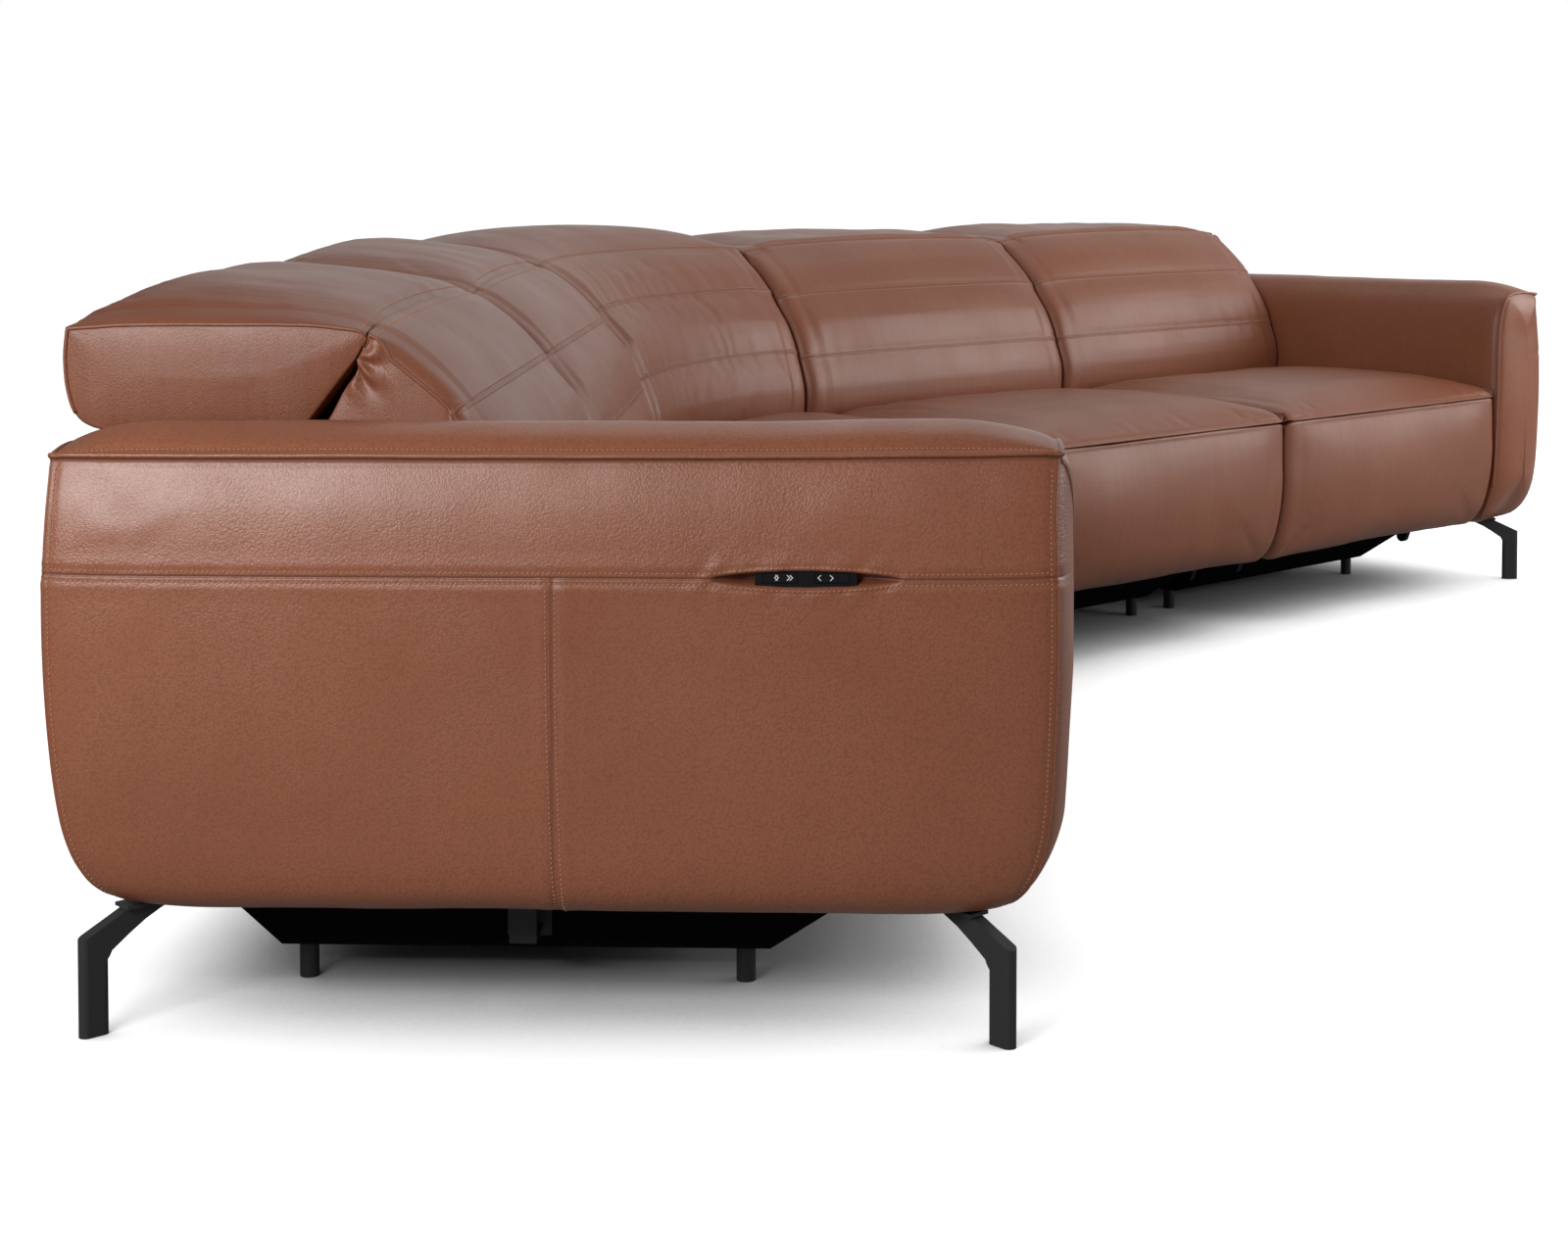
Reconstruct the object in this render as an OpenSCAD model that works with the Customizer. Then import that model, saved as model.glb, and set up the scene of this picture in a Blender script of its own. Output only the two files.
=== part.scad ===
// Reclining sectional sofa in leather: two straight runs of two seats each, joined by a curved
// corner seat. Three seats recline on a steel mechanism, and four have a headrest that folds up.
// Row frame: +X along the sofa, -Y to the sitters' side, +Z up, origin on the floor at the middle.
// Seat frame: x across the seat, y from the front of the seat backwards, z up from the floor.

/* [Plan] */
// Width of one seat
seat_w = 735; // [660:5:820]
// Angle that the corner seat turns the sofa through, in degrees
corner_turn = 45; // [36:1:54]
// Width of the corner seat at its front
corner_front = 210; // [180:5:260]
// Gap between cushions that stand side by side
cushion_gap = 0.6; // [0.4:0.1:1]

/* [Seat cushion] */
// Depth of the seat, from its front to the back cushion
seat_depth = 556; // [520:2:590]
// Height of the seam along the front edge of the seat
front_seam_z = 405; // [395:1:420]
// Rise of the seat above that seam at its side edges
seat_rise = 37; // [24:1:50]
// Extra rise of the crown in the middle of a cushion
seat_crown = 16; // [6:1:26]
// Underside of the seat cushion
seat_bottom_z = 301; // [296:1:306]
// Softness of the side edges of a cushion, as a radius
cushion_edge = 16; // [8:1:24]
// Depth that the side of a cushion is drawn in
draw_in = 5; // [2:1:8]

/* [Front panel and footrest] */
// Lowest edge of the front panel
skirt_z = 136; // [126:1:150]
// Thickness of the front panel's padding
skirt_t = 75; // [60:1:84]
// Set-back of the lower edge of the front panel
skirt_tuck = 52; // [30:1:60]
// Gap between the footrest's top and the seat's lip over it
lip_gap = 0.8; // [0.5:0.1:2]
// Height of the seat's lip over the footrest
lip_t = 8; // [6:1:12]
// Thickness of the footrest's plywood board
board_t = 12; // [9:1:15]

/* [Back cushion] */
// Set-back of the lowest double seam behind the front of the back cushion
low_seam_back = 21; // [12:1:34]
// Height of the lowest double seam
low_seam_z = 536; // [515:1:555]
// Set-back of the middle double seam
mid_seam_back = 86; // [74:1:98]
// Height of the middle double seam
mid_seam_z = 644; // [628:1:656]
// Fullness of a panel between two seams
panel_puff = 6; // [2:1:10]
// Extra fullness of the back in the middle of its width
back_crown = 20; // [6:1:30]
// Underside of the back cushion
back_bottom_z = 331; // [329:1:340]
// Top of the back cushion behind the fold, under the folded headrest
back_shelf_z = 622; // [612:1:626]
// Rear of the back cushion
back_rear_y = 999; // [980:1:1010]

/* [Headrest] */
// Headrest hinge axis, behind the front of the back cushion
hinge_back = 202; // [194:1:212]
// Height of the headrest hinge axis
hinge_z = 716; // [708:1:722]
// Radius of the headrest's round front end
fold_r = 20; // [17:1:22]
// Clearance of the back cushion round that end
fold_gap = 4; // [3:0.5:6]
// Rear end of the folded headrest
headrest_rear_y = 1070; // [1050:1:1085]
// Underside of the folded headrest
headrest_bottom_z = 634; // [632:1:640]
// Extra fullness of the headrest in the middle of its width
headrest_crown = 40; // [20:1:46]
// Swell of the headrests on the run to the right of the corner, above their sides
right_headrest_crown = 26; // [12:1:45]

/* [Back frame] */
// Thickness of the back board and of the board under the back cushion
back_board_t = 15; // [12:1:18]
// Lower edge of the back board
back_board_z = 200; // [195:1:240]
// From each end of the back board to the side of its seat
back_board_gap = 27.5; // [18:0.5:56]
// Recline hinge axis, from the front of the seat
recline_y = 620; // [610:1:630]
// Height of the recline hinge axis
recline_z = 300; // [296:1:304]
// Thickness of the steel plates
plate_t = 5; // [4:0.5:6]
// Side clearance between neighbouring plates
plate_gap = 1.5; // [1:0.1:2]
// Radius of the hinge pins
pin_r = 5; // [4:0.5:6]
// Radial clearance of a pin in its bore
pin_fit = 0.06; // [0.03:0.01:0.09]

/* [Footrest links] */
// Distance of the outer faces of the side rails from the side of the seat
rail_inset = 62; // [54:1:70]
// First pivot of the links, from the front of the seat
link_y = 115; // [108:1:120]
// Height of the first pivot of the links
link_z = 272; // [266:1:274]
// Length of a link, from pivot to pivot
link_l = 180; // [170:1:184]
// Angle of the folded links below the level, in degrees
link_fold = 110; // [106:1:114]
// Half of the width of a link
link_r = 12; // [10:1:14]
// Radius of the tube that joins the drive links
torsion_r = 9; // [7:1:10]

/* [Base] */
// Height of the base above the floor, which is the length of its feet
base_z = 40; // [30:1:50]
// Top of the base
base_top = 106; // [96:1:110]
// Distance of the base from the side of the seat
base_inset = 45; // [40:1:50]
// Front of the base at its lower edge
base_front_y = 304; // [290:1:320]
// Rear of the base at its lower edge
base_rear_y = 857; // [840:1:870]
// Run of the base's front slope for each millimetre that it rises
front_slope = 1.58; // [1.3:0.02:1.7]
// Run of the base's rear slope for each millimetre that it rises
rear_slope = 1.12; // [0.8:0.02:1.4]
// Thickness of the base's skin
base_t = 3; // [2:0.5:4]
// Radius of a base foot
foot_r = 11; // [9:0.5:13]
// Distance of the base feet from the side of the seat
foot_inset = 60; // [56:1:66]
// Set-in of the base feet from the base's lower edges
foot_set = 28; // [20:1:40]

/* [Arm] */
// Width of an arm at its fullest
arm_w = 170; // [150:1:190]
// Reach of the arm in front of the seat
arm_front = 22; // [10:1:30]
// Rear end of the arm
arm_rear_y = 1066; // [1040:1:1080]
// Underside of the arm
arm_bottom_z = 134; // [128:1:148]
// Height of the welt along the arm's outer edge
arm_welt_z = 617; // [595:1:635]
// Rise of the arm's top over its welt
arm_crown = 29; // [15:1:34]

/* [Arm legs] */
// Length of the leg bar's cross-section
leg_bar_l = 33; // [28:1:38]
// Thickness of the leg bar
leg_bar_t = 16; // [10:1:18]
// Height of a leg's post on its outer side
leg_bend_z = 104; // [98:1:112]
// Rise of a leg's slanted arm, in degrees
leg_rise = 25; // [22:1:32]
// Set-in of a leg from the ends of the arm
leg_end = 74; // [60:1:90]
// Set-in of a leg from the outer side of the arm
leg_side = 22; // [20:1:34]
// Thickness of a leg's mounting plate
leg_plate_t = 4; // [3:0.5:6]

/* [Controls] */
// Length of the control pod
pod_l = 106; // [90:1:120]
// Height of the control pod
pod_h = 22; // [18:1:26]
// Depth of the control pod
pod_d = 22; // [16:1:28]
// Height of the control pod's middle
pod_z = 495; // [450:1:510]
// Middle of the control pod, from the front of the seat
pod_y = 258; // [200:1:320]
// Depth of the pod's face in the arm
pod_recess = 3; // [2:0.5:3.5]
// Length of the opening in the arm's seam
slot_l = 190; // [150:1:220]
// Height of the opening in the arm's seam
slot_h = 24; // [24:1:30]
// Length of a rocker
rocker_l = 36; // [30:1:40]
// Height of a rocker
rocker_h = 11; // [9:0.5:13]

/* [Hidden] */

$fn = 32;
LEATHER = [0.56, 0.34, 0.25];
STEEL = [0.42, 0.43, 0.45];
BLACK = [0.1, 0.1, 0.11];
WOOD = [0.72, 0.58, 0.4];

// Each seat's run (1 for the left run, -1 for the right) and its middle, in seat widths
LEFT = [1, -1.5];
INNER = [1, -0.5];
MIDDLE = [-1, 0.5];
RIGHT = [-1, 1.5];

half_turn = corner_turn / 2;
corner_r = corner_front / 2 / sin(half_turn);
run_l = 2 * seat_w + arm_w;
reach_front = (corner_r - arm_front) * cos(half_turn) - run_l * sin(half_turn);
reach_rear = corner_r + headrest_rear_y;
pivot_y = -(reach_front + reach_rear) / 2;

back_y = seat_depth + 4;
low_seam_y = back_y + low_seam_back;
mid_seam_y = back_y + mid_seam_back;
hinge_y = back_y + hinge_back;
touch_gap = 0.3;

rail_x = seat_w / 2 - rail_inset - plate_t;
drive_x = rail_x - plate_gap - plate_t;
lift_x = drive_x - plate_gap - plate_t;
bracket_x = lift_x - plate_gap - plate_t;
bracket_foot = 6;
fold_y = link_y + link_l * -cos(link_fold);
fold_z = link_z - link_l * sin(link_fold);
deck_top = seat_bottom_z - 1;
deck_t = 12;
rail_top = deck_top - deck_t;
back_shelf_t = 10;
back_shelf = back_bottom_z - touch_gap - back_shelf_t;
hinge_arm_x = seat_w / 2 - 70;
hinge_arm_w = 12;
hinge_arm_t = 3;
eye_r = 9;

// Places that the pieces of a seat, of the corner and of an arm take in the sofa
module on_seat(seat)
    translate([0, pivot_y, 0]) rotate(seat[0] * half_turn)
        translate([seat[1] * seat_w, corner_r, 0]) children();

module on_corner() translate([0, pivot_y, 0]) children();

module on_arm(run)
    mirror([run < 0 ? 1 : 0, 0, 0]) translate([0, pivot_y, 0]) rotate(half_turn)
        translate([-2 * seat_w, corner_r, 0]) children();

module both_sides() { children(); mirror([1, 0, 0]) children(); }

// A plate of thickness t from x on, cut to an outline in y and z
module plate_at(x, t) translate([x, 0, 0]) rotate([90, 0, 90]) linear_extrude(t) children();

module rod_at(x, l, y, z, r) translate([x, y, z]) rotate([0, 90, 0]) cylinder(h = l, r = r);

module block(x, y, z) translate([x[0], y[0], z[0]]) cube([x[1] - x[0], y[1] - y[0], z[1] - z[0]]);

// A strip of width 2r with round ends, from point a to point b. Its straight edges lie a hair
// inside the round ones, so that they cross cleanly.
module strip(a, b, r) {
    run = b - a;
    half = r - 0.06;
    translate(a) rotate(atan2(run[1], run[0])) translate([0, -half]) square([norm(run), 2 * half]);
    translate(a) circle(r);
    translate(b) circle(r);
}

// Upholstery. A cushion is a profile of points [y, z, fullness, crown], lofted across the seat.
// Each station is [share of half the width, shift along the width, set-in of the profile].
function crown_at(share) = 1 - pow(abs(share), 2.4);

function edge_side(sign, r) = [
    for (step = [[0, 0.8], [0.25, 0.3], [1, 0]])
        [sign, -sign * (cushion_gap / 2 + step[0] * r), step[1] * r]
];

function stations(r, turn) = concat(
    edge_side(-1, r),
    [for (share = turn == 0 ? [-0.75, -0.38, 0.38, 0.75] : [for (i = [-3 : 3]) i / 4])
        [share, 0, 0]],
    [for (i = [2, 1, 0]) edge_side(1, r)[i]]
);

function side_normal(p, i) =
    let (a = p[(i + len(p) - 1) % len(p)], b = p[(i + 1) % len(p)],
         run = [b[0] - a[0], b[1] - a[1]])
    [-run[1], run[0]] / norm(run);

// A point at depth y on a straight seat of width w, or on the corner where turn isn't 0
function across(share, shift, y, w, turn) = turn == 0
    ? [share * w / 2 + shift, y]
    : let (a = share * turn, r = corner_r + y)
      [r * sin(a) + shift * cos(a), r * cos(a) - shift * sin(a)];

function ring(p, s, w, turn) = [
    for (i = [0 : len(p) - 1])
        let (out = p[i][2] + p[i][3] * crown_at(s[0]) - s[2], n = side_normal(p, i),
             y = p[i][0] + n[0] * out, z = p[i][1] + n[1] * out,
             xy = across(s[0], s[1], y, w, turn))
        [xy[0], xy[1], z]
];

module loft(rings, first, last) {
    count = len(rings[0]);
    tail = len(rings) * count;
    points = concat([for (r = rings) each r], [first, last]);
    walls = [
        for (j = [0 : len(rings) - 2]) for (i = [0 : count - 1])
            let (k = (i + 1) % count, a = j * count + i, b = j * count + k)
            each [[a, a + count, b], [b, a + count, b + count]]
    ];
    front = [for (i = [0 : count - 1]) [i, (i + 1) % count, tail]];
    back = [for (i = [0 : count - 1]) [tail - count + (i + 1) % count, tail - count + i, tail + 1]];
    polyhedron(points = points, faces = concat(walls, front, back), convexity = 8);
}

module cushion(p, core, w = seat_w, turn = 0, r = cushion_edge) {
    steps = stations(r, turn);
    ends = [for (sign = [-1, 1])
        let (xy = across(sign, -sign * (cushion_gap / 2 + draw_in), core[0], w, turn))
        [xy[0], xy[1], core[1]]];
    loft([for (s = steps) ring(p, s, w, turn)], ends[0], ends[1]);
}

// Seat top from the front seam back to the rear edge
function seat_top(z) = [
    [10, z + 0.3 * seat_rise, 0, 2],
    [45, z + 0.62 * seat_rise, 0, 0.5 * seat_crown],
    [130, z + 0.92 * seat_rise, 0, seat_crown],
    [260, z + seat_rise, 0, seat_crown],
    [0.75 * seat_depth, z + 0.9 * seat_rise, 0, seat_crown],
    [0.93 * seat_depth, z + 0.62 * seat_rise, 0, 0.6 * seat_crown],
    [seat_depth, z + 0.2 * seat_rise, 0, 0]
];

// Front of the panel under the seam, from its lower edge up to z
function skirt_front(z) = [
    [skirt_t - 2, skirt_z + 1, 0, 0],
    [skirt_tuck, skirt_z, 0, 0],
    [0.42 * skirt_tuck, skirt_z + 34, 0, 2],
    [0.08 * skirt_tuck, skirt_z + 90, 0, 3],
    [-4, skirt_z + 150, 0, 4],
    [-4, z - 55, 0, 4],
    [0, z, 0, 1]
];

footrest_top = front_seam_z - lip_t - lip_gap;

// Reclining seat: its front lip lies over the footrest
module seat_cushion() color(LEATHER) cushion(
    concat(
        [[skirt_t + board_t + bracket_foot + 4, seat_bottom_z, 0, 0],
         [skirt_t + board_t + 2, front_seam_z - lip_t - 12, 0, 0],
         [skirt_t + board_t - 4, front_seam_z - lip_t, 0, 0],
         [3, front_seam_z - lip_t, 0, 0],
         [0, front_seam_z - 1, 0, 1]],
        seat_top(front_seam_z),
        [[seat_depth, seat_bottom_z + 20, 0, 0],
         [seat_depth - 10, seat_bottom_z, 0, 0]]),
    [260, seat_bottom_z + 0.55 * (front_seam_z - seat_bottom_z)]);

// Fixed seat: the front panel is one cushion with the seat
module deep_seat_cushion(turn) color(LEATHER) cushion(
    concat(
        [[skirt_t, seat_bottom_z, 0, 0]],
        skirt_front(front_seam_z - 12),
        [[2, front_seam_z - 1, -1, 1]],
        seat_top(front_seam_z),
        [[seat_depth, seat_bottom_z + 20, 0, 0],
         [seat_depth - 10, seat_bottom_z, 0, 0]]),
    [0.72 * skirt_t, seat_bottom_z + 30], turn = turn);

module footrest_cushion() color(LEATHER) cushion(
    concat(skirt_front(footrest_top - 8),
        [[8, footrest_top, 0, 0], [skirt_t - 6, footrest_top, 0, 0],
         [skirt_t, footrest_top - 8, 0, 0], [skirt_t, skirt_z + 10, 0, 0]]),
    [0.6 * skirt_t, 0.5 * (skirt_z + footrest_top)]);

// The four panels of the back, from the seat up to the fold, with their double seams
function between(a, b, t) = [a[0] + (b[0] - a[0]) * t, a[1] + (b[1] - a[1]) * t];
function panel(a, b, puff, crown) = [
    for (step = [[0.14, 0.55], [0.5, 1], [0.86, 0.55]])
        concat(between(a, b, step[0]), [puff * step[1], crown * step[1] + 0.4 * crown * (1 - step[1])])
];
function seam(at, crown) = [[at[0], at[1], -2, crown]];
function on_fold(angle, r) = [hinge_y + r * cos(angle), hinge_z + r * sin(angle)];

low_seam = [low_seam_y, low_seam_z];
mid_seam = [mid_seam_y, mid_seam_z];
fold_edge = on_fold(149, fold_r + fold_gap);
fold_foot = on_fold(225, fold_r + fold_gap);

function back_front() = concat(
    [[back_y + 44, back_bottom_z, 0, 0], [back_y + 16, back_bottom_z + 45, 0, 0],
     [back_y + 1, back_bottom_z + 98, 0, 3],
     [back_y + 3, 0.5 * (back_bottom_z + 98 + low_seam_z), 3, 0.6 * back_crown]],
    seam(low_seam, 0.35 * back_crown),
    panel(low_seam, mid_seam, panel_puff, back_crown),
    seam(mid_seam, 0.35 * back_crown),
    panel(mid_seam, fold_edge, 0.7 * panel_puff, 0.6 * back_crown));

function back_core() = [back_y + 90, low_seam_z];

module back_cushion() color(LEATHER) difference() {
    cushion(concat(
        back_front(),
        [concat(fold_edge, [0, 0]), concat(on_fold(185, fold_r + fold_gap), [0, 0]),
         concat(fold_foot, [0, 0]),
         [fold_foot[0] + fold_foot[1] - back_shelf_z, back_shelf_z, 0, 0],
         [back_rear_y - 12, back_shelf_z, 0, 0], [back_rear_y, back_shelf_z - 12, 0, 0],
         [back_rear_y, back_bottom_z + 8, 0, 0], [back_rear_y - 8, back_bottom_z, 0, 0]]),
        back_core());
    both_sides() plate_at(hinge_arm_x - touch_gap, hinge_arm_t + 2 * touch_gap)
        hinge_arm(touch_gap);
}

// Top of the headrest, or of the corner back, from the fold to its rear end
function headrest_top(start, crown) = [
    [start[0] + 50, start[1] + 4, 0, 0.5 * crown],
    [start[0] + 130, start[1] + 6, 0, crown],
    [start[0] + 215, start[1] + 1, 0, 0.85 * crown],
    [headrest_rear_y - 26, start[1] - 8, 0, 0.45 * crown],
    [headrest_rear_y - 2, start[1] - 26, 0, 6],
    [headrest_rear_y, start[1] - 60, 0, 4],
    [headrest_rear_y - 22, headrest_bottom_z + 4, 0, 0],
    [headrest_rear_y - 48, headrest_bottom_z, 0, 0]
];

module headrest_cushion(crown) color(LEATHER) difference() {
    cushion(concat(
        [for (a = [225, 180, 135, 95]) concat(on_fold(a, fold_r), [0, 0])],
        headrest_top([hinge_y, hinge_z + fold_r], crown),
        [concat(on_fold(225, fold_r)
            + [1, -1] * (on_fold(225, fold_r)[1] - headrest_bottom_z), [0, 0])]),
        [hinge_y + 130, hinge_z - 30]);
    both_sides() plate_at(ear_x - touch_gap, ear_slot) {
        headrest_ear(touch_gap);
        translate([hinge_y, hinge_z]) circle(fold_r + 1);
    }
}

// The corner's back is one piece: its fold is only a seam
module corner_back_cushion() color(LEATHER) cushion(
    concat(
        back_front(),
        [[hinge_y - 12, hinge_z + 14, -2, 4]],
        headrest_top([hinge_y, hinge_z + fold_r], headrest_crown),
        [[headrest_rear_y - 50, back_shelf_z - 6, 0, 0],
         [back_rear_y - touch_gap, back_shelf_z - 16, 0, 0],
         [back_rear_y, back_bottom_z + 8, 0, 0], [back_rear_y - 8, back_bottom_z, 0, 0]]),
    back_core(), turn = half_turn);

// Back frame: boards behind and under the cushion, side plates to the recline hinge, and two
// arms that carry the headrest hinge
module hinge_arm(grow) {
    knee = on_fold(225, fold_r + fold_gap + 14);
    foot = [knee[0] + knee[1] - back_shelf_z + 14, back_shelf_z - 14];
    strip([hinge_y, hinge_z], knee, hinge_arm_w / 2 + grow);
    strip(knee, foot, hinge_arm_w / 2 + grow);
    strip(foot, [back_rear_y + 2, foot[1]], hinge_arm_w / 2 + grow);
    translate([hinge_y, hinge_z]) circle(eye_r + grow);
}

ear_x = hinge_arm_x - plate_gap - hinge_arm_t;
ear_slot = 2 * hinge_arm_t + plate_gap + 2 * touch_gap;
headrest_plate_t = 4;
headrest_plate_rim = 36;
back_board_half = seat_w / 2 - back_board_gap;

module back_boards() {
    block([-back_board_half, back_board_half],
        [back_rear_y + touch_gap, back_rear_y + touch_gap + back_board_t],
        [back_board_z, back_shelf_z]);
    block([-back_board_half, back_board_half],
        [recline_y + 20, back_rear_y + touch_gap + 1], [back_shelf, back_shelf + back_shelf_t]);
    both_sides() {
        plate_at(hinge_arm_x, hinge_arm_t) hinge_arm(0);
        rod_at(ear_x, hinge_arm_x - ear_x + 1, hinge_y, hinge_z, pin_r);
    }
}

module back_frame() color(STEEL) {
    back_boards();
    both_sides() plate_at(drive_x, plate_t) difference() {
        union() {
            translate([recline_y, recline_z]) circle(18);
            polygon([[recline_y, recline_z - 18], [back_rear_y + 1, back_shelf - 52],
                [back_rear_y + 1, back_shelf + 1], [recline_y + 14, back_shelf + 1],
                [recline_y - 8, recline_z + 16]]);
        }
        translate([recline_y, recline_z]) circle(pin_r + pin_fit);
    }
}

module fixed_back_frame() color(WOOD) back_boards();

// Plate under the headrest, with an ear at each side on the hinge pins
module headrest_ear(grow) {
    base = [hinge_y + hinge_z - headrest_bottom_z + 8, headrest_bottom_z - 4];
    strip([hinge_y, hinge_z], base, hinge_arm_w / 2 + grow);
    translate([hinge_y, hinge_z]) circle(eye_r + grow);
}

module headrest_plate() color(STEEL) {
    plate_z = headrest_bottom_z - touch_gap - headrest_plate_t;
    front = hinge_y + 86;
    rear = headrest_rear_y - 50;
    difference() {
        block([-hinge_arm_x - 20, hinge_arm_x + 20], [front, rear],
            [plate_z, plate_z + headrest_plate_t]);
        for (i = [-1 : 1]) translate([i * 190, (front + rear) / 2, plate_z - 1])
            cylinder(h = headrest_plate_t + 2, r = (rear - front) / 2 - headrest_plate_rim);
    }
    both_sides() difference() {
        plate_at(ear_x, hinge_arm_t) headrest_ear(0);
        rod_at(ear_x - 1, hinge_arm_t + 2, hinge_y, hinge_z, pin_r + pin_fit);
        block([ear_x - 1, ear_x + hinge_arm_t + 1], [hinge_y + 40, hinge_y + 140],
            [plate_z - 20, plate_z]);
    }
}

// Reclining mechanism. Each side has a rail, a drive link and a lift link, folded flat on each
// other behind the front panel; the footrest's brackets hang on the lift links.
module rail_outline() difference() {
    union() {
        polygon([[base_front_y + 6, base_z + base_t], [base_rear_y - 8, base_z + base_t],
            [base_rear_y + 4, base_z + 24], [base_rear_y + 4, 150], [recline_y + 84, 236],
            [recline_y + 17, recline_z - 6], [recline_y - 17, recline_z - 6],
            [recline_y - 26, rail_top], [link_y, rail_top], [link_y - 16, link_z],
            [link_y - 10, link_z - 34], [link_y + 50, link_z - 72],
            [base_front_y - front_slope * (base_top - base_z) + 14, base_top + 12]]);
        translate([recline_y, recline_z]) circle(18);
        translate([link_y, link_z]) circle(rail_top - link_z);
    }
    for (a = [[270, 190], [430, 170], [590, 160]])
        strip([a[0], a[1]], [a[0] + 90, a[1]], 34);
    strip([740, 120], [790, 110], 24);
}

module side_rails() color(STEEL) {
    both_sides() {
        plate_at(rail_x, plate_t) rail_outline();
        rod_at(drive_x - 1, rail_x - drive_x + 2, link_y, link_z, pin_r);
        rod_at(drive_x - 1, rail_x - drive_x + 2, recline_y, recline_z, pin_r);
    }
    for (y = [base_front_y + 26, base_rear_y - 52])
        rod_at(-rail_x - 1, 2 * rail_x + 2, y, base_z + 34, 12.5);
}

module link_plate(x, a, b, bore_a) plate_at(x, plate_t) difference() {
    strip(a, b, link_r);
    if (bore_a) translate(a) circle(pin_r + pin_fit);
}

// Drive link: turns on the rail, carries the torsion tube and the pin of the lift link
module drive_links() color(STEEL) {
    along = [fold_y - link_y, fold_z - link_z] / link_l;
    side = [-along[1], along[0]];
    tube = [link_y, link_z] + 70 * along + 34 * side;
    both_sides() {
        plate_at(drive_x, plate_t) difference() {
            union() {
                strip([link_y, link_z], [fold_y, fold_z], link_r);
                polygon([[link_y, link_z] + 12 * along, tube + torsion_r * side,
                    [link_y, link_z] + 140 * along]);
                translate(tube) circle(torsion_r + 3);
            }
            translate([link_y, link_z]) circle(pin_r + pin_fit);
        }
        rod_at(lift_x - 1, drive_x - lift_x + 2, fold_y, fold_z, pin_r);
    }
    difference() {
        rod_at(-drive_x - 1, 2 * drive_x + 2, tube[0], tube[1], torsion_r);
        rod_at(-drive_x - 2, 2 * drive_x + 4, tube[0], tube[1], torsion_r - 2);
    }
}

module lift_links() color(STEEL) both_sides() {
    link_plate(lift_x, [fold_y, fold_z], [link_y, link_z], true);
    rod_at(bracket_x - 1, lift_x - bracket_x + 2, link_y, link_z, pin_r);
}

module footrest_board() color(WOOD) {
    back = skirt_t + touch_gap + board_t;
    difference() {
        block([-bracket_x - 42, bracket_x + 42], [skirt_t + touch_gap, back],
            [skirt_z + 14, footrest_top - 14]);
        for (x = [-150, 150]) translate([x, back + 1, 0.5 * (skirt_z + footrest_top)])
            rotate([90, 0, 0]) cylinder(h = board_t + 4, r = 45);
    }
    both_sides() plate_at(bracket_x, plate_t) difference() {
        union() {
            strip([back + 6, link_z], [link_y, link_z], link_r);
            translate([back - 1, link_z - 60]) square([bracket_foot + 1, 120]);
        }
        translate([link_y, link_z]) circle(pin_r + pin_fit);
    }
}

// Sprung deck under a reclining seat: a steel frame crossed by webbing
module seat_deck() color(STEEL) {
    outer = rail_x + plate_t;
    front = link_y + 22;
    rear = seat_depth - 4;
    difference() {
        block([-outer, outer], [front, rear], [deck_top - deck_t, deck_top]);
        block([-outer + 28, outer - 28], [front + 24, rear - 24],
            [deck_top - deck_t - 1, deck_top - 3]);
        for (i = [0 : 5]) {
            gap = (rear - front - 48) / 6;
            block([-outer + 34, outer - 34],
                [front + 27 + i * gap, front + 21 + (i + 0.55) * gap], [deck_top - 4, deck_top + 1]);
        }
    }
}

// Motor, gearbox and tube that drive the torsion tube, clamped on the rear cross tube
module actuator() color(BLACK) {
    along = [fold_y - link_y, fold_z - link_z] / link_l;
    tube = [link_y, link_z] + 70 * along + 34 * [-along[1], along[0]];
    start = [base_rear_y - 52, base_z + 34];
    run = tube - start;
    reach = norm(run) - torsion_r - 3 - touch_gap;
    translate([0, start[0], start[1]]) rotate([-atan2(run[1], -run[0]), 0, 0]) rotate([90, 0, 0]) {
        difference() {
            translate([-12, -16, 0]) cube([24, 32, 60]);
            translate([-13, 0, 0]) rotate([0, 90, 0]) cylinder(h = 26, r = 12.5 + touch_gap);
        }
        translate([0, 0, 55]) cylinder(h = 62, r = 24);
        translate([30, 0, 86]) rotate([90, 0, 0]) translate([0, 0, -34]) cylinder(h = 68, r = 25);
        translate([0, 0, 115]) cylinder(h = 300, r = 15);
        translate([0, 0, 414]) cylinder(h = reach - 414, r = 9);
    }
}

// Base tray of a reclining seat: sloped at the front and the rear, covered in black cloth
function base_outline(lift, top) = [
    [base_front_y, base_z + lift], [base_rear_y, base_z + lift],
    [base_rear_y + rear_slope * (top - base_z - lift), top],
    [base_front_y - front_slope * (top - base_z - lift), top]
];

module base_shell(half) difference() {
    plate_at(-half, 2 * half) polygon(base_outline(0, base_top));
    plate_at(-half + base_t, 2 * (half - base_t)) polygon(base_outline(base_t, base_top + 2));
}

module base_tray() color(BLACK) base_shell(seat_w / 2 - base_inset);

foot_front = base_front_y + foot_set;
foot_rear = base_rear_y - foot_set;

module feet_of(x) for (sx = [-x, x]) for (y = [foot_front, foot_rear])
    translate([sx, y, 0]) cylinder(h = base_z, r = foot_r);

module base_feet() color(BLACK) {
    for (seat = [LEFT, INNER, MIDDLE, RIGHT]) on_seat(seat) feet_of(seat_w / 2 - foot_inset);
    on_corner() for (sign = [-1, 1]) for (y = [foot_front, foot_rear])
        rotate(-sign * half_turn) translate([-sign * foot_inset, corner_r + y, 0])
            cylinder(h = base_z, r = foot_r);
}

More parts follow.
